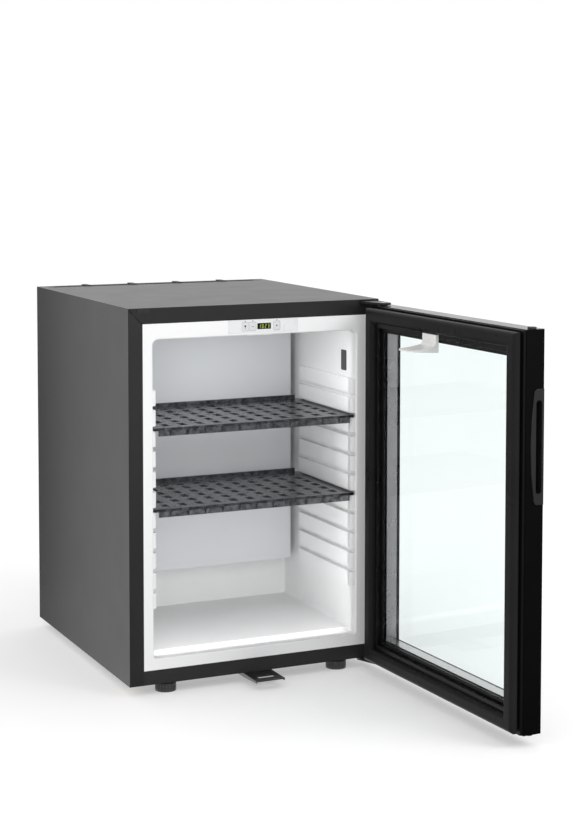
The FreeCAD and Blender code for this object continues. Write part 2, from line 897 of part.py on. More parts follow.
def switch_and_lamp():
    """Door switch housing and lamp lens under the cavity's ceiling."""
    half = size.switch_width / 2
    middle = size.striker_offset
    near = front + size.switch_setback
    plan = rectangle(middle - half, middle + half, near, near + size.switch_depth)
    housing = prism("door_switch", "XY", [plan], opening_top - size.switch_height, opening_top)
    low = opening_top - size.switch_height
    round_edges(housing, size.panel_radius, dict(y=near, z=low), dict(y=near + size.switch_depth, z=low))
    half_lamp = size.lamp_width / 2
    lamp_near = front + size.lamp_setback
    lamp_far = lamp_near + size.lamp_depth
    plan = rectangle(-half_lamp, half_lamp, lamp_near, lamp_far)
    low = opening_top - size.lamp_height
    lens = prism("lamp_lens", "XY", [plan], low, opening_top)
    round_edges(lens, size.panel_radius, dict(y=lamp_near, z=low), dict(y=lamp_far, z=low),
                dict(x=half_lamp, z=low), dict(x=-half_lamp, z=low))


def shelf(name, below):
    """Moulded shelf with rows of slots, a ticked front lip and a low rear rim."""
    rest = floor + size.groove_first + groove_pitch() * below + size.shelf_play
    level = rest + size.shelf_thickness
    side = opening_side - size.shelf_side_clearance
    inside = opening_side - size.runner_depth - size.shelf_side_clearance
    near = front + size.shelf_setback
    far = near + size.shelf_depth
    body = prism(name, "XY", [rectangle(-side, side, near, far)], rest, level)
    lip = rectangle(-inside, inside, near, near + size.shelf_lip_thickness)
    add_prism(body, "XY", [lip], level - size.shelf_lip_height, rest)
    rim = rectangle(-inside, inside, far - size.shelf_lip_thickness, far)
    add_prism(body, "XY", [rim], level, level + size.shelf_rim_height)
    round_edges(body, size.shelf_tick_rise, dict(y=near, z=level))
    across = size.shelf_slot_count
    slot_start = size.shelf_slot_margin - inside
    slot_width = (-slot_start * 2 - size.shelf_slot_web * (across - 1)) / across
    pitch = slot_width + size.shelf_slot_web
    deep = size.shelf_row_count
    row_room = size.shelf_depth - size.shelf_row_first - size.shelf_row_last
    slot_length = (row_room - size.shelf_row_web * (deep - 1)) / deep
    rows = []
    for row in range(int(deep.value)):
        row_near = near + size.shelf_row_first + (slot_length + size.shelf_row_web) * row
        rows.append(rectangle(slot_start, slot_start + slot_width, row_near, row_near + slot_length))
    slots = cut_prism(body, "XY", rows, rest, level)
    repeat_along(body, slots, "X_Axis", pitch, across)
    tick_start = slot_start + slot_width / 2 - size.shelf_tick_width / 2
    tick = rectangle(tick_start, tick_start + size.shelf_tick_width, near + size.shelf_lip_thickness,
                     near + size.shelf_lip_thickness + size.shelf_tick_rise)
    ticks = add_prism(body, "XY", [tick], level - size.shelf_lip_height, rest)
    repeat_along(body, ticks, "X_Axis", pitch, across)


def feet():
    """Four fluted levelling feet, each with a stud that screws into the base."""
    collar_low = base - size.foot_collar_height
    for name, x, y in foot_places():
        body = prism(name, "XY", [disc(x, y, size.foot_radius)], zero, collar_low)
        angle = 2 * math.pi / int(size.foot_flute_count.value)
        grooves = []
        for step in range(int(size.foot_flute_count.value)):
            reach_x = size.foot_radius * math.cos(angle * step)
            reach_y = size.foot_radius * math.sin(angle * step)
            grooves.append(disc(x + reach_x, y + reach_y, size.foot_flute_radius))
        cut_prism(body, "XY", grooves, size.foot_collar_height, collar_low)
        add_prism(body, "XY", [disc(x, y, size.foot_collar_radius)], collar_low, base)
        add_prism(body, "XY", [disc(x, y, size.foot_stud_radius)], base, base + size.foot_stud_length)


def hinge_plates():
    """Upper plate through the top rail and lower plate under the cabinet, each with its pin."""
    slot_outer = half_width - size.hinge_slot_outer
    slot_inner = slot_outer - size.hinge_slot_width
    tail = front + size.hinge_plate_tail
    tip = door_outer
    shoulder = front - size.hinge_plate_edge / 2
    inner = pin_x - size.hinge_plate_edge
    plan = [
        (slot_inner, tail),
        (slot_outer, tail),
        (slot_outer, shoulder),
        (door_hinge, shoulder),
        (door_hinge, tip),
        (inner, tip),
        (slot_inner, shoulder),
    ]
    upper = prism("upper_hinge_plate", "XY", [plan], plate_low, plate_top)
    round_edges(upper, size.hinge_end_radius, dict(x=door_hinge, y=tip), dict(x=inner, y=tip))
    lower_top = base
    lower_low = base - size.hinge_plate
    under = [
        (slot_inner, tail),
        (door_hinge, tail),
        (door_hinge, tip),
        (inner, tip),
        (slot_inner, shoulder),
    ]
    lower = prism("lower_hinge_plate", "XY", [under], lower_low, lower_top)
    round_edges(lower, size.hinge_end_radius, dict(x=door_hinge, y=tip), dict(x=inner, y=tip))
    for body, low, high in ((upper, plate_low, plate_top), (lower, lower_low, lower_top)):
        cut_prism(body, "XY", [disc(pin_x, pin_y, size.pin_radius)], low, high)
    cut_prism(lower, "XY", screw_holes(hinge_screw_places()), lower_low, lower_top)
    prism("upper_hinge_pin", "XY", [disc(pin_x, pin_y, size.pin_radius)],
          door_high - size.pin_depth, plate_top)
    prism("lower_hinge_pin", "XY", [disc(pin_x, pin_y, size.pin_radius)],
          lower_low, door_low + size.pin_depth)
    gather("hinge_pins", ["upper_hinge_pin", "lower_hinge_pin"])


def gather(name, members):
    """Joins alike nodes into one node, as a group of separate solids."""
    group = doc.addObject("Part::Compound", name)
    group.Links = [nodes.pop(member) for member in members]
    group.Label = name
    nodes[name] = group


def hinge_screw_places():
    """Middles of the two screws that hold the lower hinge plate to the bottom rail."""
    x = half_width - size.stile_width - size.screw_edge
    return [(x, front + size.screw_edge), (x, front + size.hinge_plate_tail - size.screw_edge)]


def keeper_screw_places():
    """Middles of the two screws that hold the keeper to the bottom rail."""
    y = front + size.keeper_tail / 2
    return [(-size.keeper_screw_spread, y), (size.keeper_screw_spread, y)]


def screw_holes(places):
    """Holes that the shanks of screws pass through."""
    return [disc(x, y, size.screw_shank_radius) for x, y in places]


def underside_screws():
    """Screws of the lower hinge plate and the keeper, set upwards into the bottom rail."""
    members = []
    rows = [(hinge_screw_places(), base - size.hinge_plate),
            (keeper_screw_places(), base - size.keeper_sheet)]
    for places, face in rows:
        for x, y in places:
            member = f"screw_{len(members)}"
            head = [disc(x, y, size.screw_head_radius)]
            body = prism(member, "XY", head, face - size.screw_head_height, face)
            add_prism(body, "XY", screw_holes([(x, y)]), face, base + size.sheet)
            members.append(member)
    gather("underside_screws", members)


def place_on_door(*names):
    """Swings nodes that were drawn with the door shut to the open position."""
    turn = FreeCAD.Rotation(FreeCAD.Vector(0, 0, 1), size.door_open_angle.value)
    pivot = FreeCAD.Vector(pin_x.value, pin_y.value, 0)
    for name in names:
        nodes[name].Placement = FreeCAD.Placement(FreeCAD.Vector(), turn, pivot)


def door_ring(outer, inner):
    """Outer and inner outline of a ring that runs round the door at two insets."""
    return [
        rectangle(door_free + inset, door_hinge - inset, door_low + inset, door_high - inset)
        for inset in (outer, inner)
    ]


def door_frame():
    """Four mitred bars with a rebate for the glazing."""
    face = size.frame_face
    low_in, high_in = door_low + face, door_high - face
    free_in, hinge_in = door_free + face, door_hinge - face
    bars = {
        "door_stile_free": [(door_free, door_low), (door_free, door_high), (free_in, high_in),
                            (free_in, low_in)],
        "door_stile_hinge": [(door_hinge, door_low), (door_hinge, door_high), (hinge_in, high_in),
                             (hinge_in, low_in)],
        "door_rail_top": [(door_free, door_high), (door_hinge, door_high), (hinge_in, high_in),
                          (free_in, high_in)],
        "door_rail_bottom": [(door_free, door_low), (door_hinge, door_low), (hinge_in, low_in),
                             (free_in, low_in)],
    }
    rebate = door_ring(size.frame_box, size.frame_box)[0]
    bore = size.bush_radius
    for name, outline in bars.items():
        body = prism(name, "XZ", [outline], door_outer, door_inner)
        cut_prism(body, "XZ", [rebate], door_outer + size.frame_lip, door_inner)
    for stile, x in (("door_stile_hinge", pin_x), ("door_stile_free", door_free + size.pin_edge)):
        hole = [disc(x, pin_y, bore)]
        for rail, start, end in (("door_rail_bottom", door_low, door_low + size.bush_length),
                                 ("door_rail_top", door_high - size.bush_length, door_high)):
            cut_prism(nodes[stile], "XY", hole, start, end)
            cut_prism(nodes[rail], "XY", hole, start, end)
    return list(bars)


def glazing():
    """Two panes with a metal spacer and an edge seal between them, under a stepped bead."""
    thick = size.glass_thickness
    outside = door_outer + size.frame_lip
    inside = door_inner
    edge = size.frame_box + size.glass_clearance
    pane = door_ring(edge, edge)[:1]
    prism("outer_pane", "XZ", pane, outside, outside + thick)
    prism("inner_pane", "XZ", pane, inside - thick, inside)
    spacer_in = size.frame_face + size.spacer_overlap
    spacer_out = spacer_in - size.spacer_width
    prism("spacer_bar", "XZ", door_ring(spacer_out, spacer_in), outside + thick, inside - thick)
    prism("edge_seal", "XZ", door_ring(edge, spacer_out), outside + thick, inside - thick)
    bead = prism("glazing_bead", "XZ", door_ring(size.bead_inset, size.frame_face), inside,
                 inside + size.bead_base)
    ridge_end = inside + size.bead_ridge_height
    add_prism(bead, "XZ", door_ring(size.bead_ridge_outer, size.bead_ridge_inner),
              inside + size.bead_base, ridge_end)
    round_edges(bead, size.bead_radius, dict(y=ridge_end, within=in_ring(size.bead_ridge_inner)),
                dict(y=inside + size.bead_base, within=in_ring(size.frame_face)))
    return ["outer_pane", "inner_pane", "spacer_bar", "edge_seal", "glazing_bead"]


def in_ring(inset):
    """A test for the straight edges of a door ring at one inset."""
    middle_x = (door_free.value + door_hinge.value) / 2
    middle_z = (door_low.value + door_high.value) / 2
    half_x = (door_hinge.value - door_free.value) / 2 - inset.value
    half_z = (door_high.value - door_low.value) / 2 - inset.value

    def test(point):
        across = abs(abs(point.x - middle_x) - half_x) < TOLERANCE
        upright = abs(abs(point.z - middle_z) - half_z) < TOLERANCE
        return across or upright

    return test


def gasket():
    """Crowned door gasket on a narrower foot, so that a groove shows round its edge."""
    start = door_inner + size.bead_base
    lip = start + size.gasket_foot_height
    crown = front - size.gasket_clearance
    body = prism("door_gasket", "XZ", door_ring(size.gasket_foot_outer, size.gasket_foot_inner), start, lip)
    add_prism(body, "XZ", door_ring(size.gasket_outer, size.gasket_inner), lip, crown)
    round_edges(body, size.gasket_radius, dict(y=crown, within=in_ring(size.gasket_outer)),
                dict(y=crown, within=in_ring(size.gasket_inner)))
    return ["door_gasket"]


def hinge_bushes():
    """Bushes that turn on the pins, and plugs in the two spare holes."""
    running = size.pin_radius + size.pin_running
    spare = door_free + size.pin_edge
    upper = prism("upper_hinge_bush", "XY", [disc(pin_x, pin_y, size.bush_radius)],
                  door_high - size.bush_length, door_high)
    add_prism(upper, "XY", [disc(pin_x, pin_y, size.bush_head_radius)], door_high,
              door_high + size.bush_head_upper)
    cut_prism(upper, "XY", [disc(pin_x, pin_y, running)], door_high - size.bush_length,
              door_high + size.bush_head_upper)
    lower = prism("lower_hinge_bush", "XY", [disc(pin_x, pin_y, size.bush_radius)], door_low,
                  door_low + size.bush_length)
    add_prism(lower, "XY", [disc(pin_x, pin_y, size.bush_head_radius)],
              door_low - size.bush_head_lower, door_low)
    cut_prism(lower, "XY", [disc(pin_x, pin_y, running)], door_low - size.bush_head_lower,
              door_low + size.bush_length)
    plug = prism("upper_hole_plug", "XY", [disc(spare, pin_y, size.bush_radius)],
                 door_high - size.plug_depth, door_high + size.plug_rise)
    low_plug = prism("lower_hole_plug", "XY", [disc(spare, pin_y, size.bush_radius)],
                     door_low - size.bush_head_lower, door_low + size.plug_depth)
    round_edges(plug, size.bush_head_upper, dict(z=door_high + size.plug_rise))
    round_edges(low_plug, size.bush_head_upper, dict(z=door_low - size.bush_head_lower))
    gather("hole_plugs", ["upper_hole_plug", "lower_hole_plug"])
    return ["upper_hinge_bush", "lower_hinge_bush", "hole_plugs"]


def handle_slot():
    """Front, rear, lower and upper limit of the handle's finger slot."""
    high = door_high - size.handle_top_gap - size.handle_slot_margin
    low = high - size.handle_length + size.handle_slot_margin * 2
    near = door_outer + size.handle_slot_front
    return near, near + size.handle_slot_width, low, high


def handle():
    """Bowed grip set into the free edge, with a deep finger slot and a raised rim."""
    high = door_high - size.handle_top_gap
    low = high - size.handle_length
    middle = (low + high) / 2
    quarter = size.handle_length / 4
    bow = door_outer + size.handle_bow
    end = door_outer + size.handle_end
    shallow = (bow * 3 + end) / 4
    rim = [
        (door_outer, low),
        (end, low),
        (shallow, middle - quarter),
        (bow, middle),
        (shallow, middle + quarter),
        (end, high),
        (door_outer, high),
    ]
    body = prism("door_handle", "YZ", [rim], door_free - size.handle_rise, door_free)
    round_edges(body, size.handle_corner_radius, dict(y=end, z=low), dict(y=end, z=high))
    slot_near, slot_far, slot_low, slot_high = handle_slot()
    wall = size.handle_wall
    well = rectangle(slot_near - wall, slot_far + wall, slot_low - wall, slot_high + wall)
    well_end = door_free + size.handle_slot_depth
    add_prism(body, "YZ", [well], door_free, well_end + wall)
    cut_prism(body, "YZ", [rectangle(slot_near, slot_far, slot_low, slot_high)],
              door_free - size.handle_rise, well_end)
    round_edges(body, size.handle_slot_radius,
                *[dict(y=y, z=z) for y in (slot_near, slot_far) for z in (slot_low, slot_high)])
    rim_face = door_free - size.handle_rise
    round_edges(body, size.handle_rim_radius, dict(x=rim_face, within=on_rim))
    cut_prism(nodes["door_stile_free"], "YZ", [well], door_free, well_end + wall)
    return ["door_handle"]


def on_rim(point):
    """Whether a point lies on the handle rim's outer outline."""
    slot_near, slot_far, slot_low, slot_high = [number.value for number in handle_slot()]
    inside_z = slot_low - TOLERANCE < point.z < slot_high + TOLERANCE
    return not (inside_z and slot_near - TOLERANCE < point.y < slot_far + TOLERANCE)


def striker():
    """White clip on the door's upper bead, whose tapered tongue reaches the door switch."""
    high = door_high - size.striker_top
    low = high - size.striker_drop
    seat = door_inner + size.bead_ridge_height
    face = seat + size.striker_thickness
    tip = face + size.striker_reach
    root = low + size.striker_root
    profile = [
        (seat, low),
        (face, low),
        (tip, root - size.striker_tip * 2),
        (tip, root - size.striker_tip),
        (face + size.striker_reach / 2, root),
        (face + size.striker_root / 2, root + size.striker_root / 2),
        (face, root + size.striker_root),
        (face, high),
        (seat, high),
    ]
    half = size.striker_width / 2
    body = prism("door_striker", "YZ", [profile], size.striker_offset - half, size.striker_offset + half)
    edges = [size.striker_offset - half, size.striker_offset + half]
    round_edges(body, size.panel_radius, *[dict(x=x, y=face) for x in edges])
    round_edges(body, size.striker_corner, *[dict(x=x, y=tip) for x in edges])
    return ["door_striker"]


def lock():
    """Cam lock in the middle of the bottom rail."""
    axis = door_low + size.lock_axis_rise
    cam_near = door_outer + size.lock_cam_setback
    cam_far = cam_near + size.lock_cam_thickness
    barrel = prism("lock_barrel", "XZ", [disc(zero, axis, size.lock_radius)], door_outer, cam_near)
    rim = [disc(zero, axis, size.lock_rim_radius)]
    add_prism(barrel, "XZ", rim, door_outer - size.lock_rim, door_outer)
    half_key = size.lock_key_width / 2
    tall_key = size.lock_key_length / 2
    cut_prism(barrel, "XZ", [rectangle(-half_key, half_key, axis - tall_key, axis + tall_key)],
              door_outer - size.lock_rim, door_outer + size.lock_key_depth)
    half_cam = size.lock_cam_width / 2
    prism("lock_cam", "XZ", [rectangle(-half_cam, size.lock_cam_reach, axis - half_cam, axis + half_cam)],
          cam_near, cam_far)
    clear = size.lock_cam_clearance
    rail = nodes["door_rail_bottom"]
    hole = size.lock_radius + size.lock_running
    cut_prism(rail, "XZ", [disc(zero, axis, hole)], door_outer, cam_near)
    reach = size.lock_cam_reach + clear
    slot = rectangle(-size.lock_cam_swing, reach, door_low, axis + size.lock_cam_swing)
    cut_prism(rail, "XZ", [slot], cam_near - clear, cam_far + clear)
    return ["lock_barrel", "lock_cam"]


def keeper():
    """Slotted keeper plate that reaches forward under the shut door."""
    half = size.keeper_width / 2
    sheet = size.keeper_sheet
    near = front - size.keeper_reach
    far = front + size.keeper_tail
    low = base - size.keeper_hem
    profile = [
        (-half, low),
        (-half, base),
        (half, base),
        (half, low),
        (half - sheet, low),
        (half - sheet, base - sheet),
        (-half + sheet, base - sheet),
        (-half + sheet, low),
    ]
    body = prism("lock_keeper", "XZ", [profile], near, far)
    cam_middle = door_outer + size.lock_cam_setback + size.lock_cam_thickness / 2
    half_slot = size.keeper_slot_width / 2
    half_length = size.keeper_slot_length / 2
    cut_prism(body, "XY", [rectangle(-half_slot, half_slot, cam_middle - half_length,
                                     cam_middle + half_length)], base - sheet, base)
    cut_prism(body, "XY", screw_holes(keeper_screw_places()), base - sheet, base)
    taper = [(near, low), (front, low), (near, base - sheet * 2)]
    cut_prism(body, "YZ", [taper], -half, half)


def pipe(name, points, radius, bend, vessel=None):
    """A bent tube: straight runs joined by arcs, trimmed where it meets an optional vessel."""
    corners = [FreeCAD.Vector(*[value_of(number) for number in point]) for point in points]
    edges = []
    start = corners[0]
    for before, corner, after in zip(corners, corners[1:], corners[2:]):
        inward = (before - corner).normalize()
        outward = (after - corner).normalize()
        setback = bend.value / math.tan(inward.getAngle(outward) / 2)
        arc_start = corner + inward * setback
        arc_end = corner + outward * setback
        bisector = (inward + outward).normalize()
        centre_reach = math.hypot(bend.value, setback)
        arc_middle = corner + bisector * (centre_reach - bend.value)
        edges.append(Part.LineSegment(start, arc_start).toShape())
        edges.append(Part.Arc(arc_start, arc_middle, arc_end).toShape())
        start = arc_end
    edges.append(Part.LineSegment(start, corners[-1]).toShape())
    circle = Part.Wire(Part.makeCircle(radius.value, corners[0], corners[1] - corners[0]))
    tube = doc.addObject("Part::Feature", name)
    tube.Shape = Part.Wire(edges).makePipeShell([circle], True, False)
    if vessel is not None:
        doc.recompute()
        tube.Shape = tube.Shape.cut(vessel.Shape).Solids[0]
    tube.Label = name
    nodes[name] = tube


def cooling_unit():
    """Absorption cooling unit: generator, vessel, coil and finned condenser."""
    line = unit_line
    vessel_z = base + size.vessel_height
    half = size.vessel_length / 2
    left = size.vessel_centre - half
    right = size.vessel_centre + half
    vessel = prism("absorber_vessel", "YZ", [disc(line, vessel_z, size.vessel_radius)], left, right)
    round_edges(vessel, size.vessel_dome, dict(x=left), dict(x=right))
    cradles(vessel_z)
    generator = prism("generator_sleeve", "XY", [disc(generator_line, line, size.generator_radius)],
                      base + size.generator_base, generator_top)
    round_edges(generator, size.generator_rim, dict(z=generator_top), dict(z=base + size.generator_base))
    half_strap = size.strap_width / 2
    strap_z = (base + size.generator_base + generator_top) / 2
    strap = prism("generator_strap", "XZ",
                  [rectangle(generator_line - half_strap, generator_line + half_strap,
                             strap_z - size.strap_height / 2, strap_z + size.strap_height / 2)],
                  unit_wall, line)
    cut_prism(strap, "XY", [disc(generator_line, line, size.generator_radius)],
              strap_z - size.strap_height / 2, strap_z + size.strap_height / 2)
    pipe("solution_pipe", [(right, line, vessel_z), (generator_line, line, vessel_z),
                           (generator_line, line, base + size.generator_base)],
         size.pipe_radius, size.pipe_bend)
    absorber_coil(vessel, left + size.vessel_dome + size.pipe_radius, vessel_z)
    condenser()


def cradles(vessel_z):
    """Two upright plates that carry the vessel on the base pan."""
    half = size.cradle_thickness / 2
    reach = size.vessel_radius + size.cradle_margin
    members = []
    for index, sign in enumerate((-1, 1)):
        x = size.vessel_centre + size.cradle_spread * sign
        plate = rectangle(unit_line - reach, unit_line + reach, base + size.sheet, vessel_z)
        body = prism(f"cradle_{index}", "YZ", [plate], x - half, x + half)
        cut_prism(body, "YZ", [disc(unit_line, vessel_z, size.vessel_radius)], x - half, x + half)
        members.append(f"cradle_{index}")
    gather("vessel_cradles", members)


def absorber_coil(vessel, left, vessel_z):
    """Serpentine tube that climbs from the vessel and turns into the cabinet's back."""
    first = vessel_z + size.vessel_radius + size.coil_pitch
    points = [(left, unit_line, vessel_z)]
    ends = [left, generator_line - size.coil_generator_gap]
    level = first
    for run in range(int(size.coil_runs.value)):
        points.append((ends[run % 2], unit_line, level))
        points.append((ends[(run + 1) % 2], unit_line, level))
        level = level + size.coil_pitch
    last = ends[int(size.coil_runs.value) % 2]
    points.append((last, unit_line, level))
    points.append((last, unit_wall, level))
    pipe("absorber_coil", points, size.pipe_radius, size.pipe_bend, vessel)


def condenser():
    """Tube from the generator's top through a row of square fins, into the cabinet's back."""
    level = condenser_line
    left = size.condenser_side_gap - half_width
    points = [
        (generator_line, unit_line, generator_top),
        (generator_line, unit_line, level),
        (left, unit_line, level),
        (left, unit_wall, level),
    ]
    pipe("condenser_tube", points, size.pipe_radius, size.pipe_bend)
    half = size.condenser_fin_size / 2
    fin = [rectangle(unit_line - half, unit_line + half, level - half, level + half),
           disc(unit_line, level, size.pipe_radius)]
    first = left + size.condenser_fin_left_gap
    last = generator_line - size.condenser_fin_right_gap
    pitch = (last - first) / (size.condenser_fin_count - 1)
    members = []
    for index in range(int(size.condenser_fin_count.value)):
        x = first + pitch * index
        prism(f"fin_{index}", "YZ", fin, x, x + size.condenser_fin_thickness)
        members.append(f"fin_{index}")
    gather("condenser_fins", members)


def terminal_box():
    """Terminal box on the rear panel, with its lid and the gland for the mains lead."""
    left = size.terminal_left
    right = left + size.terminal_width
    high = condenser_line - size.condenser_fin_size / 2 - size.terminal_fin_gap
    low = high - size.terminal_height
    lid_start = unit_wall + size.terminal_depth
    box = prism("terminal_box", "XZ", [rectangle(left, right, low, high)], unit_wall, lid_start)
    round_edges(box, size.terminal_lid, *[dict(x=x, z=z) for x in (left, right) for z in (low, high)])
    lid = prism("terminal_lid", "XZ", [rectangle(left, right, low, high)], lid_start,
                lid_start + size.terminal_lid)
    round_edges(lid, size.terminal_lid, *[dict(x=x, z=z) for x in (left, right) for z in (low, high)])
    x = (left + right) / 2
    y = unit_wall + size.terminal_depth / 2
    gland = prism("cable_gland", "XY", [disc(x, y, size.gland_radius)], low - size.gland_length / 2, low)
    add_prism(gland, "XY", [disc(x, y, size.gland_nose_radius)], low - size.gland_length,
              low - size.gland_length / 2)
    cut_prism(gland, "XY", [disc(x, y, size.gland_bore_radius)], low - size.gland_length, low)


def hinge_blank():
    """Plug that closes the spare hinge slot at the left end of the top rail."""
    prism("hinge_slot_plug", "XZ", [hinge_slot(-1, zero)],
          front - size.blank_rise, front + size.sheet + size.blank_rim)


def check_and_write():
    """Stops on any failed object, then writes one STEP file per node."""
    doc.recompute()
    failed = [item.Label for item in doc.Objects if {"Invalid", "Error"} & set(item.State)]
    failed += [name for name, item in nodes.items() if item.Shape.isNull() or not item.Shape.isValid()]
    if failed:
        raise RuntimeError(f"failed: {failed}")
    os.makedirs("parts", exist_ok=True)
    for name, item in nodes.items():
        item.Shape.exportStep(f"parts/{name}.step")
    print(f"{len(nodes)} nodes written")


def main():
    """Builds the cabinet, then the door, and writes every node."""
    side_panels()
    top_panel()
    vent_grille()
    bottom_rail()
    base_pan()
    inner_liner()
    insulation()
    rear_panel()
    cold_plate()
    evaporator()
    control_panel()
    switch_and_lamp()
    shelf("upper_shelf", size.upper_shelf_below_count)
    shelf("lower_shelf", size.lower_shelf_below_count)
    feet()
    hinge_plates()
    hinge_blank()
    keeper()
    underside_screws()
    cooling_unit()
    terminal_box()
    door_nodes = door_frame() + glazing() + gasket() + hinge_bushes() + handle() + striker() + lock()
    place_on_door(*door_nodes)
    check_and_write()


main()
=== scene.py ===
"""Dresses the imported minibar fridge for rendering: finishes, small fittings, stage and camera.

Every length is in metres, in the frame of the CAD model: +Z up, the cabinet's front towards -Y.
"""

import logging
import math
from dataclasses import dataclass
from enum import Enum
from typing import ClassVar, Iterable, Sequence, Union

import bmesh
import bpy
from mathutils import Matrix, Vector


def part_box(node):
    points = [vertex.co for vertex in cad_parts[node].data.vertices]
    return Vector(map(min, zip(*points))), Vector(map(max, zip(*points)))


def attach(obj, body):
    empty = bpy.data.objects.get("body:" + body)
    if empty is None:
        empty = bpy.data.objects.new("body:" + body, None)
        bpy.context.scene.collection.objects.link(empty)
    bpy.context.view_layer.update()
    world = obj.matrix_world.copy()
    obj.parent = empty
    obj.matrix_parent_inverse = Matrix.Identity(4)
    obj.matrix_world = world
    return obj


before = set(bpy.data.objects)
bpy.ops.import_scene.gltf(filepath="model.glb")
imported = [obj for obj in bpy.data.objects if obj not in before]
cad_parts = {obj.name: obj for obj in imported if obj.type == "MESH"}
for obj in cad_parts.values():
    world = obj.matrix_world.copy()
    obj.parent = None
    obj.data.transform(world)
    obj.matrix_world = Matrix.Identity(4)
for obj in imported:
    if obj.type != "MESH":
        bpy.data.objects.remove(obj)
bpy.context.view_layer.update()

LOG = logging.getLogger("minibar")
Colour = tuple[float, float, float]
Socket = bpy.types.NodeSocket
Shape = bmesh.types.BMesh
Placed = tuple[Shape, Matrix]

MM = 0.001
SEAT_DEPTH = 0.2 * MM
WHITE = (1.0, 1.0, 1.0, 1.0)
# The middle range of a noise, and the octaves of a fine grain.
CLOUD_LOW, CLOUD_HIGH = 0.3, 0.7
GRAIN_DETAIL = 2.0
# A rectangle's corners: their sides along X and Z, and the turn at which each arc starts.
QUARTER = 0.25
CORNERS = ((1, 1, 0.0), (-1, 1, QUARTER), (-1, -1, 2 * QUARTER), (1, -1, 3 * QUARTER))
# A screw head's rings, as shares of its radius and height, and the share left under its recess.
SCREW_PROFILE = ((1.0, 0.0), (1.0, 0.35), (0.9, 0.65), (0.7, 0.85), (0.4, 0.97))
SCREW_RECESS = 0.4
IMAGE_LONG_SIDE = 826.0
SENSOR_WIDTH = 36.0


class Coordinates(Enum):
    """Texture coordinates that a finish can be laid out in."""

    OBJECT = "Object"
    GENERATED = "Generated"
    NORMAL = "Normal"


class Body(Enum):
    """CAD bodies that added pieces ride on."""

    CABINET = "cabinet"
    LIGHT_BUTTON = "light_button"
    DOWN_BUTTON = "down_button"
    UP_BUTTON = "up_button"
    UPPER_SHELF = "upper_shelf"
    LOWER_SHELF = "lower_shelf"


